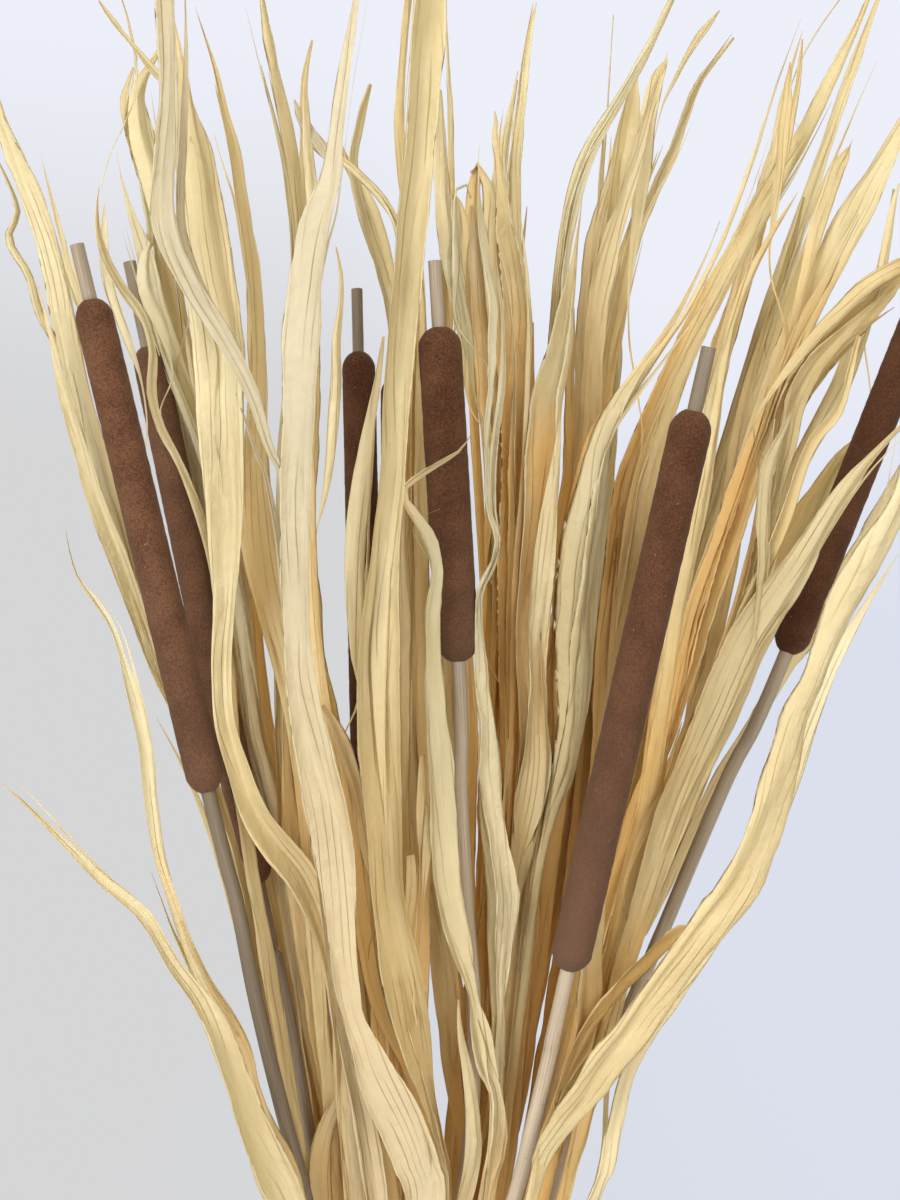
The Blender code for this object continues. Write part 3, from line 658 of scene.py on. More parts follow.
leafColours = {
    "straw": {"light": (0.77, 0.72, 0.51), "dark": (0.63, 0.51, 0.25), "glow": (0.89, 0.74, 0.33)},
    "pale_straw": {"light": (0.79, 0.76, 0.60), "dark": (0.70, 0.62, 0.36),
                   "glow": (0.88, 0.78, 0.41)},
    "amber_straw": {"light": (0.75, 0.67, 0.41), "dark": (0.60, 0.46, 0.20),
                    "glow": (0.88, 0.67, 0.24)},
    "near": {"light": (0.73, 0.67, 0.51), "dark": (0.59, 0.50, 0.31), "glow": (0.86, 0.74, 0.44)},
    # painted shade: the warm amber that stands in for shade and passed-on light among packed leaves, and
    # the amber glow of light through them there
    "inner": (0.88, 0.62, 0.23),
    "paintedInnerGlow": (0.90, 0.64, 0.23),
    "low": (1.0, 0.93, 0.82),
    "nearHigh": (0.84, 0.85, 0.86),
    "groove": (0.44, 0.27, 0.09),
    "foot": (0.52, 0.32, 0.11),
    "edge": (0.92, 0.85, 0.60),
    "fleck": (0.30, 0.14, 0.05),
}
leafLook = {
    "fibres": 0.66, "fibreStart": -0.20, "tone": 0.45, "cloudScale": 24.0, "grooves": 0.72,
    "paintedShadeAmount": 0.80, "lowRange": (0.62, 0.42), "nearHighRange": (0.42, 0.58), "flecks": 0.5,
    "wrinkleScale": 150.0, "wrinkles": 5.0, "bump": 0.7, "bumpDistance": 0.38 * mm, "through": 0.40,
}


def makeLeafMaterial(name):
    colours, look = leafColours[name], leafLook
    material, tree, shader = newMaterial("dry leaf, " + name.replace("_", " "))
    leafMap = addNode(tree, "ShaderNodeUVMap", uv_map="leafMap").outputs[0]
    place = objectPlace(tree)
    tone, share, offEdge = splitXyz(attributeOf(tree, "leafTone")["Vector"])
    fibre = useGroup(tree, fibreGroup, {"Map": leafMap, "Groove Pitch": 2.4 * mm,
                                        "Fibre Pitch": 0.4 * mm, "Pimple Size": 1.0 * mm})
    cloud = noiseOf(place, look["cloudScale"], 3.0)[0]
    depth = calc("MULTIPLY_ADD", fibre["Fibres"], look["fibres"], look["fibreStart"])
    depth = plus(depth, times(tone, look["tone"]))
    depth = plus(depth, calc("MULTIPLY_ADD", cloud, 1.0, -0.5), clamp=True)
    # painted shade mask, from the packed-leaf mark kept on the points
    paintedShadeAmount = times(attributeOf(tree, "paintedShade")["Fac"], look["paintedShadeAmount"])
    height = splitXyz(place)[2]
    colour = mixColour(depth, colours["light"], colours["dark"])
    colour = mixColour(times(fibre["Grooves"], look["grooves"]), colour, leafColours["groove"])
    # painted shade: amber mixed in where leaves stand packed
    colour = mixColour(paintedShadeAmount, colour, leafColours["inner"])
    colour = mixColour(rangeOf(height, *look["lowRange"]), colour, leafColours["low"], "MULTIPLY")
    if name == "near":
        high = rangeOf(height, *look["nearHighRange"])
        colour = mixColour(high, colour, leafColours["nearHigh"], "MULTIPLY")
    colour = mixColour(rangeOf(offEdge, 0.86, 1.0, 0.0, 0.5), colour, leafColours["edge"])
    colour = addFlecks(place, colour, 16 * mm, 0.04, look["flecks"], leafColours["fleck"])
    colour = mixColour(rangeOf(share, 0.93, 1.0, 0.0, 0.35), colour, leafColours["foot"])
    connect(shader, {"Base Color": colour, "Specular IOR Level": 0.22,
                     "Roughness": calc("MULTIPLY_ADD", fibre["Fibres"], 0.22, 0.42)})
    wrinkle = noiseOf(place, look["wrinkleScale"], 3.0, 0.55)[0]
    relief = calc("MULTIPLY_ADD", wrinkle, look["wrinkles"], fibre["Height"])
    addBump(shader, relief, look["bump"], look["bumpDistance"])
    glow = mixColour(depth, colours["glow"], colours["dark"])
    # painted glow: the light through the leaf turns amber where leaves stand packed
    glow = mixColour(paintedShadeAmount, glow, leafColours["paintedInnerGlow"])
    through = addNode(tree, "ShaderNodeBsdfTranslucent", {"Color": glow}).outputs[0]
    both = addNode(tree, "ShaderNodeMixShader", {0: look["through"], 1: shader.outputs[0], 2: through})
    connect(tree.nodes["Material Output"], {"Surface": both.outputs[0]})
    return material


leafMaterials = {name: makeLeafMaterial(name) for name in ("straw", "pale_straw", "amber_straw", "near")}


# loose strips: the leaf each belongs to, its row, turn low and at the tip, tone, and its points
looseStrips = [
    ("left_outer_leaf", 4.6, 30, 70, 0.2, [(-117, 596, 2), (-125, 612, 3), (-131, 632, 3),
     (-139, 648, 3), (-143, 662, 2.5), (-150, 675, 2.5), (-147, 686, 2), (-155, 705, 0.8)]),
    ("left_pale_leaf", 5.4, 20, 60, 0.3, [(-97, 635, 2), (-102, 655, 2.5), (-103, 668, 3),
     (-100, 674, 3), (-102, 690, 2.5), (-106, 708, 0.8)]),
    ("left_upper_leaf", 8.5, 20, -50, 0.4, [(-94, 655, 3), (-98, 674, 4), (-101, 690, 4),
     (-106, 706, 4), (-110, 724, 3.5), (-106, 737, 1)]),
    ("hooked_strip", 4.0, 30, 60, 0.1, [(-7, 335, 5), (-9, 400, 5), (-10, 480, 5), (-11, 560, 5),
     (-12, 620, 5), (-14, 648, 5), (-18, 662, 4.5), (-24, 682, 4), (-28, 700, 3.5), (-26, 716, 3),
     (-21, 731, 1)]),
    ("inner_strip_leaf", 5.0, 10, 50, 0.3, [(-12, 630, 4), (-14, 660, 6), (-19, 682, 6), (-28, 700, 4),
     (-33, 712, 1)]),
    ("centre_wide_leaf", 5.7, 30, 60, 0.3, [(8, 640, 2.5), (8.5, 665, 3), (8, 690, 3), (7.5, 720, 2),
     (6, 760, 0.8)]),
    ("centre_tan_leaf", 7.5, 30, 70, 0.5, [(7, 640, 4), (6, 660, 4.5), (4, 684, 4), (3, 705, 1)]),
    ("twisted_leaf", 3.4, 20, 85, 0.3, [(10, 650, 2.5), (11, 668, 3), (10.5, 690, 3), (13.5, 695, 2.5),
     (16, 690, 1.5)]),
    ("centre_fan_leaf", 8.4, 20, 60, 0.4, [(11, 645, 3), (12.5, 665, 3), (15, 682, 2.5), (16, 697, 1)]),
    ("centre_fan_leaf", 8.8, 30, 60, 0.3, [(26, 680, 2.5), (28, 705, 2), (32, 732, 0.8)]),
    ("centre_wide_leaf", 5.5, 10, 80, 0.2, [(25, 655, 3), (24, 670, 3.5), (24, 688, 3.5), (19, 701, 3),
     (15.5, 699, 1.5)]),
    ("centre_right_strip", 9.6, 20, 50, 0.4, [(61, 676, 3), (62, 692, 2.5), (63, 712, 1)]),
    ("centre_right_strip", 9.4, 20, 50, 0.7, [(62, 684, 1), (64, 715, 0.8), (67, 756, 0.5)]),
    ("right_rear_leaf", 10.4, 20, 60, 0.4, [(80, 684, 3), (89, 708, 3), (98, 731, 2.5),
     (110, 747, 0.8)]),
    ("right_back_leaf", 8.6, 20, 50, 0.5, [(122, 640, 3), (126, 655, 3), (129, 665, 3), (136, 690, 1)]),
    ("right_straw_leaf", 6.6, 20, 60, 0.3, [(158, 650, 3), (164, 668, 3.5), (168, 693, 1)]),
    ("right_amber_leaf", 2.7, 10, 40, 0.1, [(71, 445, 5), (80, 466, 6), (88, 478, 6), (95, 492, 5.5),
     (101, 505, 6), (109, 528, 8), (118, 550, 8), (128, 575, 7), (137, 600, 6), (148, 615, 5),
     (155, 640, 2)]),
    ("right_band_leaf", 2.4, 20, 60, 0.7, [(118, 535, 5), (122, 560, 6), (124, 590, 6),
     (132, 615, 1.5)]),
    ("near_middle_leaf", 1.4, 20, 50, 0.8, [(-18, 438, 4), (-23.5, 460, 5), (-26, 475, 5),
     (-30, 490, 5), (-34, 500, 4), (-38, 507, 1.5)]),
    ("split_leaf", 2.6, 10, 20, 0.3, [(-5, 335, 6), (-4, 380, 7), (-3.5, 415, 8), (-3.5, 437, 8),
     (-2, 448, 6), (-1, 455, 3), (-1.5, 463, 0.8)]),
    ("near_centre_leaf", 1.7, 20, -40, 0.0, [(-25, 514, 1.5), (-26, 525, 5), (-26.5, 548, 9),
     (-26.5, 566, 10), (-25, 584, 9.5), (-22, 606, 6), (-18, 625, 3), (-16, 640, 1)]),
    ("right_slack_leaf", 5.6, 30, -40, 0.2, [(124, 566, 5), (128.5, 579, 6.5), (135, 594, 7.5),
     (142, 608, 8), (148.5, 622, 8), (153, 635, 7), (158.5, 649, 4), (163, 662, 1.5)]),
    ("near_right_leaf", 5.0, 20, 50, 0.3, [(79, 425, 6), (92, 455, 6), (104, 479, 6), (114, 496, 6),
     (122, 509, 6.5), (132, 525, 7), (143, 543, 8), (152, 559, 8), (161, 574, 7), (171, 593, 5),
     (179, 614, 1)]),
    ("right_band_leaf", 1.4, 40, 60, 0.6, [(47.5, 368, 4), (58, 386, 6), (69, 400, 6.5), (82, 413, 6),
     (94, 422, 5.5), (103, 427, 1.5)]),
    ("hooked_strip", 4.4, 20, 50, 0.2, [(10, 645, 4), (9, 665, 6), (6.5, 690, 6), (5.5, 710, 5),
     (4.5, 729, 1.5)]),
    ("twisted_leaf", 3.7, 30, 60, 0.2, [(16, 624, 3.5), (14.5, 642, 5), (12, 657, 6), (11.5, 667, 6.5),
     (13, 676, 6), (12.5, 684, 5), (10, 691, 2)]),
    ("twisted_leaf", 5.5, 20, 50, 0.1, [(21, 560, 3), (22.5, 581, 4.5), (22, 599, 5), (21, 617, 5),
     (20, 635, 5), (19, 653, 5), (18, 671, 4.5), (16.5, 687, 1.5)]),
    ("centre_wide_leaf", 5.0, 20, 40, 0.5, [(16.5, 430, 5), (15, 455, 6), (16, 480, 6.5),
     (16.5, 502, 6), (15.5, 523, 5), (15, 545, 2)]),
    ("centre_tan_leaf", 4.5, 10, 50, 0.2, [(10, 440, 5), (10, 455, 5.5), (8, 477, 6), (7.5, 502, 6),
     (6.5, 522, 5), (6.5, 545, 2)]),
    ("centre_right_strip", 8.0, 20, 50, 0.3, [(45, 545, 3), (46, 559, 4), (48.5, 574, 4.5),
     (51, 588, 4.5), (52, 610, 4), (52, 631, 3), (52.5, 650, 1)]),
    ("centre_tan_leaf", 6.0, 20, 30, 0.9, [(20, 530, 1), (19.5, 552, 3), (18, 581, 3.5),
     (16.5, 610, 3.5), (15, 642, 3), (14, 674, 1.5)]),
    ("low_right_leaf", 1.6, 10, 40, 0.4, [(10, 318, 6), (14, 330, 7), (17, 345, 8), (17, 355, 7),
     (15, 372, 5), (12, 390, 2.5), (11.5, 401, 0.5)]),
    ("right_rear_leaf", 7.4, 10, 40, 0.1, [(82, 715, 0.5), (84.5, 724, 1), (88.5, 732, 2),
     (92.5, 740, 2.5), (97.5, 748, 3), (101, 752, 2.5), (105, 757, 0.5)]),
    ("right_rear_leaf", 6.8, 10, 30, 0.05, [(72, 653, 1), (74, 671, 3.5), (76.5, 689, 6), (78, 703, 8),
     (79.5, 718, 8), (81, 727, 6.5), (82.5, 733, 5), (84.5, 737, 3), (86, 740, 0.5)]),
    ("right_rear_leaf", 7.2, 10, 30, 0.15, [(64, 646, 1), (65.5, 664, 4.5), (67, 685, 7),
     (68.5, 703, 8.5), (70.5, 716, 8), (72.5, 725, 6), (74, 730, 3), (75.5, 734, 0.5)]),
    ("right_back_leaf", 6.4, 10, 30, 0.2, [(122.5, 671, 1), (124, 682, 2.5), (125.5, 693, 3.5),
     (127, 705, 4.5), (128, 716, 4.5), (129.5, 725, 4.5), (130, 732, 3), (131, 736, 2),
     (131, 739, 0.5)]),
    ("right_back_leaf", 6.9, 10, 30, 0.0, [(128, 700, 1), (129.5, 709, 2.5), (131, 720, 3),
     (132.5, 729, 2.5), (133.5, 738, 2), (134.5, 747, 0.5)]),
    ("right_straw_leaf", 5.6, 10, 30, 0.3, [(130.5, 637, 1.5), (133, 649, 3.5), (136, 660, 5),
     (141, 678, 6.5), (146, 693, 7), (149, 702, 6.5), (151.5, 706, 3.5), (152.5, 709, 0.5)]),
    ("right_straw_leaf", 5.2, 10, 20, 0.2, [(161.5, 653, 1), (163, 662, 3), (165, 673, 3.5),
     (166.5, 682, 3), (168, 690, 2), (169.5, 695, 0.5)]),
    ("right_arching_leaf", 3.9, 5, 10, 0.25, [(119.5, 613, 1.5), (127.5, 625, 3), (135.5, 635, 4.5),
     (142.5, 643, 5), (150, 650, 6), (157, 657, 6.5), (164, 662, 6.5), (172, 666, 6)]),
    ("right_back_leaf", 8.0, 10, 30, 0.6, [(129.5, 727, 0.5), (134, 739, 0.5), (141, 751, 0.5),
     (149, 762, 0.5)]),
    ("left_upper_leaf", 4.4, 5, 30, 0.1, [(-86.5, 653, 1), (-89, 664, 5), (-93, 676, 8),
     (-97, 689, 8.5), (-100.5, 702, 8.5), (-103, 712, 8.5), (-104.5, 721, 7), (-104.5, 729, 5),
     (-101.5, 736, 3), (-97, 742, 0.5)]),
    ("left_upper_leaf", 3.4, 20, 50, 0.75, [(-92, 728, 1), (-95.5, 732, 3), (-100, 737, 3.5),
     (-104.5, 743, 2), (-108, 747, 1.5), (-113.5, 754, 2), (-118.5, 761, 0.5)]),
    ("left_upper_leaf", 3.8, 20, 50, 0.5, [(-105, 739, 1), (-106.5, 747, 1.5), (-109, 757, 1),
     (-111.5, 764, 0.5)]),
    ("left_pale_leaf", 3.6, 10, 30, 0.0, [(-103.5, 624, 1), (-108, 637, 3.5), (-112.5, 649, 4.5),
     (-116, 660, 5), (-117.5, 669, 4.5), (-117.5, 678, 3), (-117, 688, 0.5)]),
    ("left_pale_leaf", 3.9, 10, 30, 0.1, [(-92, 631, 1), (-95.5, 643, 4.5), (-100, 653, 6),
     (-102, 661, 5.5), (-102, 668, 3.5), (-100, 674, 1)]),
    ("inner_strip_leaf", 4.6, 5, 30, 0.0, [(-41.5, 653, 2), (-42.5, 667, 6), (-43, 678, 7),
     (-44, 689, 6.5), (-44.5, 700, 4.5), (-44.5, 711, 3), (-44.5, 721, 3), (-44, 732, 3), (-43, 739, 2),
     (-41.5, 747, 0.5)]),
    ("near_middle_leaf", 2.4, 10, 30, 0.7, [(-32.5, 700, 0.5), (-35, 703, 3), (-38.5, 707, 5.5),
     (-42, 712, 6), (-45, 717, 5), (-47, 721, 3), (-48, 725, 0.5)]),
    ("centre_tan_leaf", 5.0, 10, 30, 0.05, [(14.5, 617, 1), (13.5, 631, 3.5), (12.5, 642, 5),
     (11, 657, 6), (11, 669, 6.5), (12, 676, 6), (11.5, 684, 4.5), (10, 689, 3), (9, 692, 1)]),
    ("centre_tan_leaf", 5.6, 10, 30, 0.2, [(21, 624, 1), (20, 642, 4.5), (18, 660, 5), (17.5, 675, 6),
     (16.5, 684, 5), (17, 693, 4.5), (18, 699, 3), (18, 702, 0.5)]),
    ("centre_wide_leaf", 5.2, 10, 30, 0.55, [(27, 617, 1), (26, 635, 5), (24, 653, 6.5), (23.5, 667, 6),
     (23, 680, 6), (23, 689, 6), (21.5, 695, 4.5), (19, 699, 3), (17.5, 702, 0.5)]),
    ("centre_fan_leaf", 5.8, 10, 30, 0.15, [(34.5, 610, 1), (33, 628, 6.5), (31.5, 642, 9),
     (29, 657, 9.5), (27.5, 671, 8.5), (26.5, 684, 8), (25.5, 694, 6.5), (25, 703, 3.5), (24, 711, 3),
     (24.5, 716, 2), (24, 721, 0.5)]),
    ("centre_fan_leaf", 6.4, 10, 30, 0.3, [(29, 671, 1.5), (28, 684, 3.5), (27.5, 694, 3.5),
     (27, 705, 3), (28.5, 716, 1.5), (30.5, 725, 1), (32.5, 735, 0.5)]),
    ("centre_fan_leaf", 6.8, 10, 30, 0.1, [(33, 653, 1.5), (32.5, 671, 3.5), (32, 687, 4.5),
     (32, 702, 3.5), (33, 714, 3.5), (34.5, 725, 3), (35.5, 739, 3), (37, 750, 2), (39, 760, 0.5)]),
    ("near_centre_leaf", 2.2, 10, 40, 0.35, [(-39.5, 572, 0.5), (-36.5, 585, 2.5), (-35, 595, 3.5),
     (-33.5, 610, 4.5), (-32.5, 624, 4.5), (-32.5, 639, 3.5), (-31, 651, 2), (-31, 662, 1.5),
     (-33, 672, 0.5)]),
    ("near_left_leaf", 2.6, 10, 40, 0.6, [(-33, 312, 4), (-37, 326, 7), (-38, 340, 8), (-36, 354, 6),
     (-31, 365, 4), (-25, 374, 0.8)]),
    ("near_left_leaf", 1.9, 20, -30, 0.3, [(-21, 308, 6), (-23, 322, 9), (-25, 336, 11), (-27, 350, 10),
     (-27, 362, 7), (-23, 372, 3), (-20, 378, 0.8)]),
    ("low_right_leaf", 2.2, 15, 30, 0.5, [(-9, 308, 6), (-12, 322, 8), (-14, 336, 8), (-17, 350, 6),
     (-18, 362, 4), (-16, 374, 1)]),
    ("torn_strip_leaf", 1.9, 10, 30, 0.2, [(-3, 452, 1), (-3, 466, 3.5), (-2.5, 478, 4), (-2, 489, 3)]),
    ("torn_strip_leaf", 1.8, 10, 20, 0.3, [(-1, 438, 1.5), (-0.5, 450, 4), (0, 462, 4), (0.5, 471, 2.5)]),
    ("torn_strip_leaf", 1.7, 10, 30, 0.4, [(-7, 420, 3), (-6.5, 434, 5), (-6, 445, 5), (-6.5, 453, 3.5)]),
]


# painted shade among packed leaves, set by how densely leaf sheets stand round each point
paintedShadeSettings = {
    "cell": 5 * mm, "spread": 2, "outward": 15 * mm, "free": 0.05, "packed": 0.42, "middle": 20 * mm,
    # leaves behind the front ones, low and near the middle, get more painted shade than their packing
    # gives:
    # each range is where that starts and how far on it is whole
    "rear": (-20 * mm, 30 * mm), "below": (740 * mm, -160 * mm), "beside": (120 * mm, -50 * mm),
    "lastRows": (9.5, -2), "rearShare": 0.5,
    # the open upper ends get less painted shade
    "upper": (600 * mm, 100 * mm), "upperShare": 0.6,
}


def ramp(values, start, length):
    return np.clip((values - start) / length, 0, 1)


def markPaintedShade(leaves):
    # painted shade: keeps on each point how many leaves stand round it on its outer side, from 0 to 1, as
    # a stand-in for the shade among packed leaves
    shadeSet, places = paintedShadeSettings, []
    for leaf in leaves:
        co = np.empty(len(leaf.data.vertices) * 3, np.float32)
        leaf.data.vertices.foreach_get("co", co)
        places.append(co.reshape(-1, 3))
    everywhere = np.concatenate(places)
    cell = shadeSet["cell"]
    low = everywhere.min(0) - 8 * cell
    size = np.ceil((everywhere.max(0) + 8 * cell - low) / cell).astype(int)
    count = np.zeros(size)
    for leaf, co in zip(leaves, places):
        faces = leaf.data.polygons
        area = np.empty(len(faces))
        faces.foreach_get("area", area)
        at = ((co - low) / cell).astype(int)
        np.add.at(count, tuple(at.T), 0.5 * area.sum() / len(co))
    count /= cell ** 2
    for axis in range(3):
        for again in range(shadeSet["spread"]):
            count = (np.roll(count, 1, axis) + count + np.roll(count, -1, axis)) / 3.0
    for leaf, co in zip(leaves, places):
        away = np.column_stack([co[:, 0], co[:, 1] - shadeSet["middle"], np.zeros(len(co))])
        away /= np.maximum(np.linalg.norm(away, axis=1), 1e-6)[:, None]
        at = (co + away * shadeSet["outward"] - low) / cell - 0.5
        base = np.clip(at.astype(int), 0, size - 2)
        part = np.clip(at - base, 0, 1)
        value = np.zeros(len(co))
        for corner in range(8):
            step = np.array([corner & 1, corner >> 1 & 1, corner >> 2 & 1])
            weight = np.prod(np.where(step, part, 1 - part), axis=1)
            value += weight * count[tuple((base + step).T)]
        value = (value - shadeSet["free"]) / (shadeSet["packed"] - shadeSet["free"])
        x, y, z = co.T
        row = (y / mm / rowSpread(z / mm) - rowSettings["first"]) / rowSettings["gap"]
        behind = ramp(y, *shadeSet["rear"]) * ramp(z, *shadeSet["below"])
        behind *= ramp(np.abs(x - shadeSet["middle"]), *shadeSet["beside"]) * ramp(row, *shadeSet["lastRows"])
        value = np.clip(value + shadeSet["rearShare"] * behind, 0, 1)
        value *= 1 - shadeSet["upperShare"] * ramp(z, *shadeSet["upper"])
        # the painted shade, kept on the points
        kept = leaf.data.attributes.new("paintedShade", "FLOAT", "POINT")
        kept.data.foreach_set("value", value.astype(np.float32))
    print("crowding marked on", len(leaves), "leaves")


# the strips torn from a leaf: how many it has if it stands in an inner or outer row, and for each
# how far it drifts in millimetres, its tone (added to the leaf's or not), its turn out of the
# leaf in degrees, where it starts and stops along the leaf, and its share of the leaf's width;
# a pair of numbers is a range to draw from
tornKinds = {
    "finger": {"inner": 2, "outer": 1, "x": (-4, 4), "y": (6, 18), "z": (-14, 2),
               "onTone": 1, "tone": (-0.3, 0.4), "eitherWay": True, "turn": (25, 80),
               "start": (0.25, 0.6), "stop": (0.86, 0.985), "share": (0.3, 0.55), "twist": 18},
    "companion": {"inner": 2, "outer": 0, "x": (-5, 5), "y": (5, 14), "z": 0,
                  "onTone": 0, "tone": (-0.2, 0.9), "eitherWay": False, "turn": (-30, 30),
                  "start": (0.2, 0.4), "stop": (0.7, 0.9), "share": (0.7, 1.05), "twist": 30},
    "sheath": {"inner": 2, "outer": 1, "x": (-7, 7), "y": (8, 20), "z": 0,
               "onTone": 0, "tone": (0.4, 1.0), "eitherWay": True, "turn": (15, 60),
               "start": 0.07, "stop": (0.4, 0.62), "share": (0.8, 1.2), "twist": 20},
}
# the share of a blade's length over which its end is drawn to a point
pointedShare = {"hooked_strip": 0.02, "usual": 0.07}


def pick(chance, value):
    return chance.uniform(*value) if isinstance(value, tuple) else value


def tornFrom(chance, rings, tone, kind, inner):
    back = chance.choice((-1, 1)) if inner else 1
    shift = (pick(chance, kind["x"]) * mm, back * pick(chance, kind["y"]) * mm,
             pick(chance, kind["z"]) * mm)
    paint = min(1, kind["onTone"] * tone + pick(chance, kind["tone"]))
    turned = chance.choice((-1, 1)) if kind["eitherWay"] else 1
    turned *= pick(chance, kind["turn"])
    start, stop, share = (pick(chance, kind[key]) for key in ("start", "stop", "share"))
    return tornStrip(chance, rings, paint, turned, start, stop, share, shift, kind["twist"])


def makeLeaves():
    tree = makeBladeTree()
    leaves, total = [], 0
    slots = {part["node"]: part["material_slot"] for part in frame["record"]["subparts"]}
    names = [name for name in sorted(slots) if slots[name] in leafMaterials]
    blades = {name: bladeRings(name) for name in names}
    spines = [place for name in names for place in bladeSpine(blades[name])]
    for order, name in enumerate(names):
        chance = random.Random(1000 + order)
        rings = blades[name]
        near = name.startswith("near_")
        finish, tone = nearPaint.get(name, (slots[name], chance.uniform(0.0, 0.7)))
        shape, strip = stripTraits(chance, tone, max(ring["half"].length for ring in rings),
                                   1.6 if near else None)
        steps = [(b["centre"] - a["centre"]).length for a, b in zip(rings, rings[1:])] + [0.0]
        pointed = pointedShare.get(name, pointedShare["usual"]) * sum(steps)
        main = []
        for i, ring in enumerate(rings):
            taper = min(1.0, 0.10 + 0.90 * sum(steps[i:]) / pointed)
            main.append({"co": ring["centre"], "across": ring["half"] * taper,
                         "facing": ring["facing"], "strip": strip,
                         "shape": (1.3 * ring["fold"] + shape[0], shape[1], shape[2])})
        strips = [main]
        footRow = (rings[1]["centre"].y / mm - rowSettings["first"]) / rowSettings["gap"]
        inner = footRow > rowSettings["innerFrom"]
        for kind in tornKinds.values():
            for number in range(kind["inner" if inner else "outer"]):
                strips.append(tornFrom(chance, rings, tone, kind, inner))
        for owner, row, turnLow, turnTip, paint, blade in looseStrips:
            if owner == name:
                loose = looseStrip(chance, paint, row, (turnLow, turnTip), blade)
                rooted = blade[0][1] > rootSettings["from"]
                strips.append(growFrom(loose, spines) if rooted else loose)
        leaf = polylines("sheet_" + name, strips)
        values = dict(bladeSettings, Seed=float(order), Finish=leafMaterials[finish])
        if near:
            values.update(nearSettings)
        runTree(leaf, tree, values)
        settle(leaf, ("across", "facing", "shape", "strip", "centre", "run", "share", "side", "skin"))
        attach(leaf, "root")
        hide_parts(name)
        total += len(leaf.data.polygons)
        leaves.append(leaf)
    # painted shade among packed leaves
    markPaintedShade(leaves)
    print("leaves:", len(names), "with", total, "faces")


makeLeaves()


# bulrushes

stemColours = {"pale": (0.62, 0.51, 0.38), "dark": (0.155, 0.12, 0.08),
               "groove": (0.15, 0.10, 0.055)}
downColours = {"light": (0.150, 0.066, 0.032), "dark": (0.050, 0.018, 0.008),
               "pale": (0.19, 0.115, 0.078), "deep": (0.034, 0.010, 0.003),
               "speck": (0.42, 0.27, 0.19), "sheen": (0.75, 0.52, 0.36, 1)}


def makeStemMaterial():
    material, tree, shader = newMaterial("dry stem")
    stemMap = addNode(tree, "ShaderNodeUVMap", uv_map="stemMap").outputs[0]
    tone = attributeOf(tree, "stemTone")["Fac"]
    fibre = useGroup(tree, fibreGroup, {"Map": stemMap, "Groove Pitch": 1.1 * mm,
                                        "Fibre Pitch": 0.3 * mm, "Pimple Size": 0.5 * mm})
    depth = plus(calc("MULTIPLY_ADD", fibre["Fibres"], 0.7, -0.3), tone, clamp=True)
    colour = mixColour(depth, stemColours["pale"], stemColours["dark"])
    colour = mixColour(times(fibre["Grooves"], 0.6), colour, stemColours["groove"])
    colour = addFlecks(objectPlace(tree), colour, 6 * mm, 0.12, 0.6, stemColours["groove"])
    connect(shader, {"Base Color": colour,
                     "Roughness": calc("MULTIPLY_ADD", fibre["Fibres"], 0.2, 0.5)})
    addBump(shader, fibre["Height"], 0.6, 0.2 * mm)
    return material


def makeDownMaterial():
    material, tree, shader = newMaterial("brown down")
    place = objectPlace(tree)
    grain = noiseOf(place, 1500.0, 4.0, 0.7)[0]
    patch = noiseOf(place, 90.0, 3.0)[0]
    pale, deep = splitXyz(attributeOf(tree, "downTone")["Vector"])[:2]
    light = rangeOf(plus(times(grain, 0.7), times(patch, 0.3)), 0.38, 0.64)
    colour = mixColour(light, downColours["dark"], downColours["light"])
    colour = mixColour(pale, colour, downColours["pale"])
    colour = mixColour(deep, colour, downColours["deep"])
    colour = addFlecks(place, colour, 3.5 * mm, 0.10, 0.5, downColours["speck"])
    connect(shader, {"Base Color": colour, "Roughness": 0.92, "Specular IOR Level": 0.15,
                     "Sheen Weight": 0.12, "Sheen Roughness": 0.6,
                     "Sheen Tint": downColours["sheen"]})
    addBump(shader, grain, 0.7, 0.35 * mm)
    return material


stemMaterial = makeStemMaterial()
downMaterial = makeDownMaterial()

rodSettings = {"Point Spacing": 4 * mm, "Sides": 16, "Lumps": 0.12 * mm, "Lump Pitch": 9 * mm}
spikeSettings = {"Point Spacing": 0.9 * mm, "Sides": 36, "Lumps": 0.28 * mm, "Lump Pitch": 4 * mm}
fuzzSettings = {"Hair Density": 1.3e6, "Hair Length": 0.45 * mm}


def makeRodTree():
    # a round body along a line of points, with the girth kept on them
    tree, inp, end = newShapeTree("round plant stem", "Line", rodSettings, 1.0)
    line = smoothLine(tree, inp["Line"], inp["Point Spacing"])
    along = addNode(tree, "GeometryNodeSplineParameter").outputs
    line = keepOn(line, "run", along["Length"])
    ring = keepOn(circleOf(tree, inp["Sides"]), "turn", along["Factor"])
    girth = splitXyz(readBack(tree, "girth", "FLOAT_VECTOR"))[0]
    body = addNode(tree, "GeometryNodeCurveToMesh",
                   {0: line, 1: ring, "Scale": girth, "Fill Caps": True}).outputs[0]
    place = addNode(tree, "GeometryNodeInputPosition").outputs[0]
    normal = addNode(tree, "GeometryNodeInputNormal").outputs[0]
    at = vecCalc("SCALE", place, over(1.0, inp["Lump Pitch"]))
    lump = noiseOf(vecCalc("ADD", at, joinXyz(inp["Seed"], 0.0, 0.0)), 1.0, 3.0, 0.6)[0]
    lump = centred(lump, times(inp["Lumps"], 2.0))
    body = addNode(tree, "GeometryNodeSetPosition",
                   {0: body, "Offset": vecCalc("SCALE", normal, lump)}).outputs[0]
    flat = joinXyz(times(readBack(tree, "turn"), 16 * mm), readBack(tree, "run"), 0.0)
    body = keepOn(body, "stemMap", flat, "FLOAT2", "CORNER")
    body = addNode(tree, "GeometryNodeSetShadeSmooth", {0: body}).outputs[0]
    connect(end, {0: inFinish(body, inp["Finish"])})
    return tree


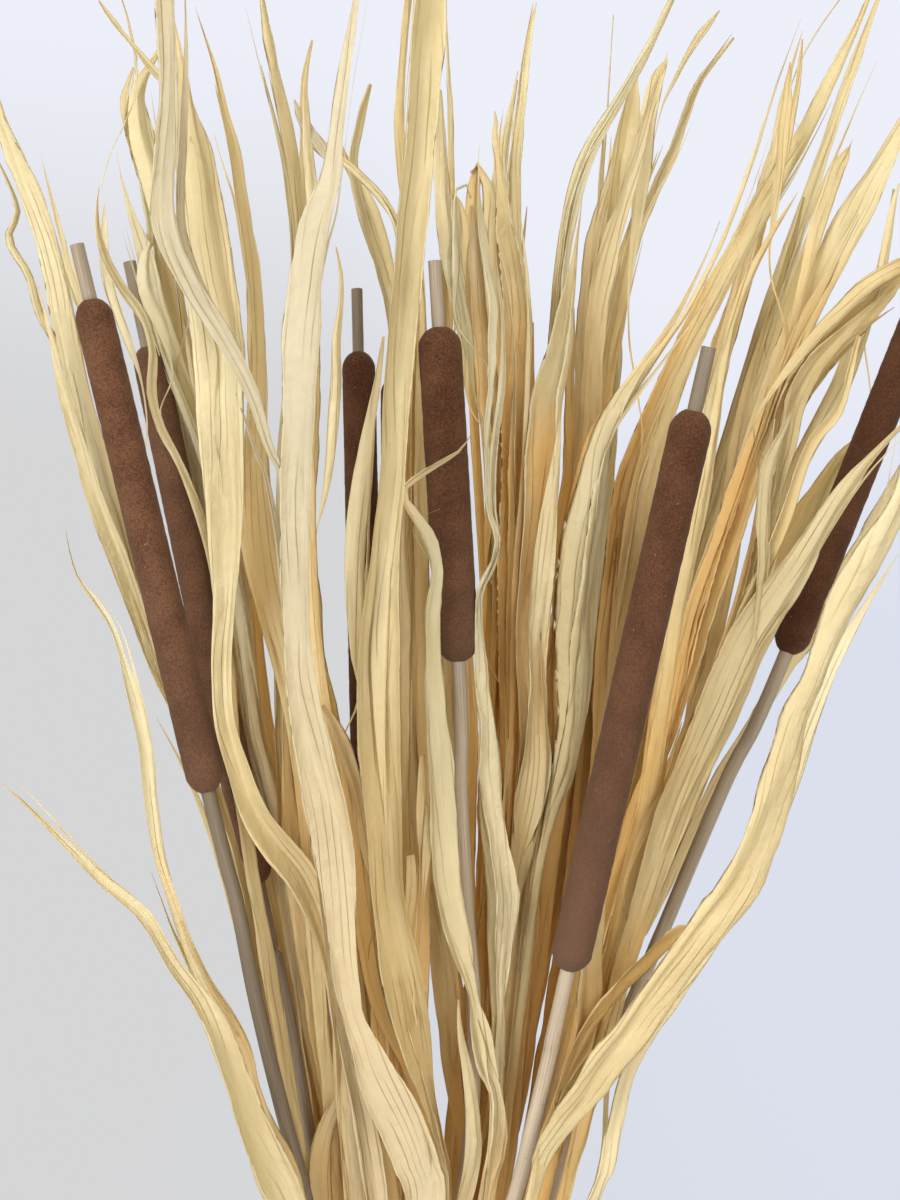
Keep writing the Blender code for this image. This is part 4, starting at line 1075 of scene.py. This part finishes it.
def makeFuzzTree():
    # short hairs standing out of a flower spike
    tree, inp, end = newShapeTree("spike fuzz", "Spike", fuzzSettings, 1)
    hairs = addNode(tree, "GeometryNodeDistributePointsOnFaces", {
        0: inp["Spike"], "Density": inp["Hair Density"], "Seed": inp["Seed"]})
    hair = addNode(tree, "GeometryNodeMeshCone", {
        "Vertices": 3, "Radius Bottom": 0.05, "Radius Top": 0.0, "Depth": 1.0}, fill_type="NGON")
    lean = addNode(tree, "FunctionNodeRandomValue", data_type="FLOAT_VECTOR")
    connect(lean, {0: (-0.5, -0.5, 0.0), 1: (0.5, 0.5, 6.0), "Seed": inp["Seed"]})
    turn = addNode(tree, "FunctionNodeRotateRotation", {
        0: hairs.outputs["Rotation"], 1: lean.outputs[0]}, rotation_space="LOCAL")
    size = addNode(tree, "FunctionNodeRandomValue", {2: 0.5, 3: 1.2, "Seed": inp["Seed"]}).outputs[1]
    size = times(size, inp["Hair Length"])
    fuzz = addNode(tree, "GeometryNodeInstanceOnPoints", {
        0: hairs.outputs[0], "Instance": hair.outputs[0], "Rotation": turn.outputs[0],
        "Scale": joinXyz(size, size, size)}).outputs[0]
    both = addNode(tree, "GeometryNodeJoinGeometry")
    connect(both, {0: inFinish(fuzz, inp["Finish"])})
    connect(both, {0: inp["Spike"]})
    connect(end, {0: both.outputs[0]})
    return tree


# of each bulrush: paleness of its spike at the foot and the top, darkness of its spike, tones of
# its stem and of the stub above the spike
bulrushTones = {
    "left": (0.30, 0.02, 0.12, 1.12, 0.76), "left_inner": (0.20, 0.20, 0.0, 0.95, 0.80),
    "back_left": (0.0, 0.0, 0.38, 0.7, 0.95), "centre": (0.30, 0.0, 0.18, 0.54, 0.72),
    "front_right": (0.70, 0.0, 0.42, 0.56, 0.97), "far_right": (0.0, 0.0, 0.62, 0.60, 0.7),
    "back_right": (0.05, 0.0, 0.2, 0.8, 0.7), "back_centre": (0.0, 0.0, 0.3, 0.8, 0.6)}
# each stem is paler at its foot and up to a height, and its stub begins just below the spike's top
stemFade = {"from": 0.36, "over": 0.16, "paler": 0.25, "stub": 3 * mm}
# a spike is a line of steps with a rounded end at its foot and its top: the length of such an end,
# its share of the steps and how they gather there, and the girth that each end starts from
spikeForm = {"steps": 34, "girth": 0.93, "end": 6.5 * mm, "endShare": 0.25, "gather": 1.5,
             "foot": 0.36, "top": 0.42, "round": 0.7}


def makeStem(name, order, rodTree, stemTone, stubTone):
    stemNode, spikeNode = f"bulrush_{name}_stem", f"bulrush_{name}_spike"
    line = []
    for ring in readRings(stemNode, 8):
        centre = sum(ring, Vector()) / len(ring)
        girth = max((co - centre).length for co in ring)
        line.append({"co": centre, "girth": (girth, 0, 0)})
    stem = polylines(f"stem_{name}", [line])
    runTree(stem, rodTree, dict(rodSettings, Seed=float(order), Finish=stemMaterial))
    settle(stem, ("girth", "run", "turn"))
    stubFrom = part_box(spikeNode)[1][2] - stemFade["stub"]
    tones = []
    for v in stem.data.vertices:
        rise = min(1.0, max(0.0, (v.co.z - stemFade["from"]) / stemFade["over"]))
        tones.append(stubTone if v.co.z > stubFrom else stemTone - stemFade["paler"] * (1 - rise))
    stem.data.attributes.new("stemTone", "FLOAT", "POINT").data.foreach_set("value", tones)
    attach(stem, "root")
    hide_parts(stemNode)


def spikeStep(t, low, high):
    # how far along its axis a spike is at share t of its steps, and its share of its girth there
    form = spikeForm
    end, endShare = form["end"], form["endShare"]
    if endShare <= t <= 1 - endShare:
        return low + end + (high - low - 2 * end) * (t - endShare) / (1 - 2 * endShare), 1.0
    u = (min(t, 1 - t) / endShare) ** form["gather"]
    bulge = math.sin(0.5 * math.pi * u) ** form["round"]
    if t < endShare:
        return low + end * u, form["foot"] + (1 - form["foot"]) * bulge
    return high - end * u, form["top"] + (1 - form["top"]) * bulge


def makeSpike(name, order, rodTree, fuzzTree, paleFoot, paleTop, deep):
    spikeNode = f"bulrush_{name}_spike"
    co = np.array([v.co for v in frame["nodes"][spikeNode].data.vertices])
    middle = co.mean(0)
    axis = np.linalg.svd(co - middle, full_matrices=False)[2][0]
    axis = axis if axis[2] > 0 else -axis
    reach = (co - middle) @ axis
    away = np.linalg.norm(co - middle - np.outer(reach, axis), axis=1)
    low, high, girth = reach.min(), reach.max(), away.max() * spikeForm["girth"]
    line = []
    for i in range(spikeForm["steps"] + 1):
        run, size = spikeStep(i / spikeForm["steps"], low, high)
        line.append({"co": Vector(middle + axis * run), "girth": (size * girth, 0, 0)})
    spike = polylines(f"spike_{name}", [line])
    runTree(spike, rodTree, dict(spikeSettings, Seed=float(order), Finish=downMaterial))
    runTree(spike, fuzzTree, dict(fuzzSettings, Seed=order, Finish=downMaterial))
    settle(spike, ("girth", "run", "turn", "stemMap"))
    tones = []
    for v in spike.data.vertices:
        share = ((np.array(v.co) - middle) @ axis - low) / (high - low)
        tones += [paleTop + (paleFoot - paleTop) * (1 - share) ** 2, deep, 0]
    spike.data.attributes.new("downTone", "FLOAT_VECTOR", "POINT").data.foreach_set("vector", tones)
    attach(spike, "root")
    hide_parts(spikeNode)


def makeBulrushes():
    rodTree, fuzzTree = makeRodTree(), makeFuzzTree()
    for order, (name, tones) in enumerate(bulrushTones.items()):
        paleFoot, paleTop, deep, stemTone, stubTone = tones
        makeStem(name, order, rodTree, stemTone, stubTone)
        makeSpike(name, order, rodTree, fuzzTree, paleFoot, paleTop, deep)
    print("bulrushes:", len(bulrushTones))


makeBulrushes()


# vase, in millimetres

vaseShape = {"sides": 128, "wall": 5.0, "floor": 12.0, "height": 235.0, "foot": 43.0, "belly": 64.0,
             "bellyZ": 96.0, "neck": 45.5, "neckZ": 196.0, "lip": 50.0}
glazeColours = {"light": (0.80, 0.77, 0.70), "dark": (0.70, 0.66, 0.58), "speck": (0.35, 0.27, 0.19)}


def vaseRadius(z):
    s = vaseShape
    if z < s["bellyZ"]:
        return s["foot"] + (s["belly"] - s["foot"]) * math.sin(0.5 * math.pi * z / s["bellyZ"])
    if z < s["neckZ"]:
        t = (z - s["bellyZ"]) / (s["neckZ"] - s["bellyZ"])
        return s["belly"] + (s["neck"] - s["belly"]) * t * t * (3 - 2 * t)
    return s["neck"] + (s["lip"] - s["neck"]) * ((z - s["neckZ"]) / (s["height"] - s["neckZ"])) ** 2


def makeGlazeMaterial():
    material, tree, shader = newMaterial("matt ceramic")
    place = objectPlace(tree)
    cloud = noiseOf(place, 30.0, 4.0)[0]
    colour = mixColour(cloud, glazeColours["light"], glazeColours["dark"])
    colour = addFlecks(place, colour, 5 * mm, 0.11, 0.6, glazeColours["speck"])
    connect(shader, {"Base Color": colour, "Roughness": rangeOf(cloud, 0.3, 0.7, 0.5, 0.66)})
    rings = calc("SINE", times(splitXyz(place)[2], 1900.0))
    grain = noiseOf(place, 700.0, 2.0)[0]
    addBump(shader, calc("MULTIPLY_ADD", rings, 0.25, grain), 0.25, 0.2 * mm)
    return material


def makeVase():
    s = vaseShape
    outside = [(s["foot"] - 3.0, 0.0), (s["foot"] - 1.2, 0.5), (s["foot"] - 0.2, 2.0)]
    outside += [(vaseRadius(z), z) for z in np.linspace(6, s["height"] - 3, 60)]
    half = 0.5 * s["wall"]
    lip = [(s["lip"] - half + half * math.cos(a), s["height"] - half + half * math.sin(a))
           for a in np.linspace(0, math.pi, 9)]
    inside = [(vaseRadius(z) - s["wall"], z) for z in np.linspace(s["height"] - 4, s["floor"] + 6, 40)]
    corner = vaseRadius(s["floor"]) - s["wall"]
    inside += [(corner - 4.0, s["floor"] + 1.0), (corner - 9.0, s["floor"])]
    profile = [(0.0, 0.0), *outside, *lip, *inside, (0.0, s["floor"])]
    mesh = turnedMesh("pot", [(r * mm, z * mm) for r, z in profile], s["sides"], 0.005 * mm)
    mesh.materials.append(makeGlazeMaterial())
    pot = addObject("pot", mesh)
    keepInBox(mesh)
    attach(pot, "root")
    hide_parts("vase")
    print("vase: one turned body")


makeVase()


# room, light and camera

# the backdrop's glow is painted light and shade: darker low on the left, bluer to the right and paler
# towards the top
room = {"radius": 2.7, "corner": 0.9, "height": 4.0, "sides": 96, "floorNear": 0.30, "floorFar": 0.85,
        "floor": (0.64, 0.65, 0.67, 1), "top": (0.846, 0.866, 0.945), "left": (0.670, 0.672, 0.680),
        "right": (0.710, 0.745, 0.840), "sideRange": (-0.35, 0.45), "riseRange": (0.80, 1.70),
        "riseLean": 0.45, "floorRise": 0.5}


def makeRoomMaterial():
    # lit floor near the vase, and past it a glow that only the camera and mirrors see, with painted
    # light: darker low on the left and paler towards the top
    radius, corner = room["radius"], room["radius"] - room["corner"]
    material, tree, shader = newMaterial("studio sweep")
    x, y, z = splitXyz(objectPlace(tree))
    out = calc("SQRT", plus(times(x, x), times(y, y)))
    height = plus(z, times(minus(out, radius), room["floorRise"]))
    # painted light on the backdrop: graded from left to right, and paler as it rises
    sideways = rangeOf(x, *room["sideRange"])
    low = mixColour(sideways, room["left"], room["right"])
    rise = rangeOf(calc("MULTIPLY_ADD", sideways, room["riseLean"], height), *room["riseRange"])
    pale = mixColour(rise, low, room["top"])
    glow = addNode(tree, "ShaderNodeEmission", {"Color": pale, "Strength": 1.0})
    connect(shader, {"Base Color": room["floor"], "Roughness": 0.8})
    rays = addNode(tree, "ShaderNodeLightPath").outputs
    seen = calc("MAXIMUM", rays["Is Glossy Ray"], rays["Is Transmission Ray"])
    seen = calc("MAXIMUM", rays["Is Camera Ray"], seen)
    far = times(rangeOf(out, room["floorNear"], room["floorFar"]), seen)
    lit = addNode(tree, "ShaderNodeMixShader", {0: far, 1: shader.outputs[0], 2: glow.outputs[0]})
    # other rays pass through the wall, so that the room's light comes in
    wall = times(rangeOf(out, corner, corner + 0.05), minus(1.0, seen))
    clear = addNode(tree, "ShaderNodeBsdfTransparent").outputs[0]
    both = addNode(tree, "ShaderNodeMixShader", {0: wall, 1: lit.outputs[0], 2: clear})
    connect(tree.nodes["Material Output"], {"Surface": both.outputs[0]})
    return material


def makeRoom():
    r, c = room["radius"], room["corner"]
    profile = [(x, 0.0) for x in (0.0, 0.3, 0.8, r - c)]
    profile += [(r - c + c * math.sin(a), c - c * math.cos(a))
                for a in np.linspace(0.15, math.pi / 2, 12)]
    profile += [(r, room["height"])]
    mesh = turnedMesh("studioSweep", profile, room["sides"], 0.1 * mm, inward=True)
    mesh.materials.append(makeRoomMaterial())
    sweep = addObject("studioSweep", mesh)


def addLamp(name, place, target, size, power, colour):
    data = bpy.data.lights.new(name, "AREA")
    data.shape = "DISK"
    data.size = size
    data.energy = power
    data.color = colour
    lamp = addObject(name, data)
    lamp.location = place
    lamp.rotation_euler = (Vector(target) - Vector(place)).to_track_quat("-Z", "Y").to_euler()


def makeLights():
    addLamp("keyLamp", (-0.75, -1.25, 1.15), (0, 0, 0.45), 0.8, 21, (0.98, 0.99, 1.0))
    addLamp("fillLamp", (0.45, -1.5, 0.55), (0, 0, 0.42), 0.9, 12, (1.0, 0.98, 0.95))
    addLamp("rimLamp", (0.5, 1.5, 1.3), (0, 0, 0.5), 1.0, 14, (1.0, 0.98, 0.96))
    world = bpy.data.worlds.new("soft room light")
    bpy.context.scene.world = world
    world.use_nodes = True
    connect(world.node_tree.nodes["Background"], {"Color": (1.0, 0.92, 0.78, 1), "Strength": 0.66})


def makeCamera():
    data = bpy.data.cameras.new("camera")
    data.lens = eye["lens"]
    data.sensor_width = 36
    data.clip_start = 0.01
    camera = addObject("camera", data)
    camera.location = (eye["x"], -eye["distance"], eye["z"])
    camera.rotation_euler = (math.pi / 2, 0, 0)
    bpy.context.scene.camera = camera


makeRoom()
makeLights()
makeCamera()
bpy.context.scene.view_settings.view_transform = "Standard"
print("room, lights and camera in place")
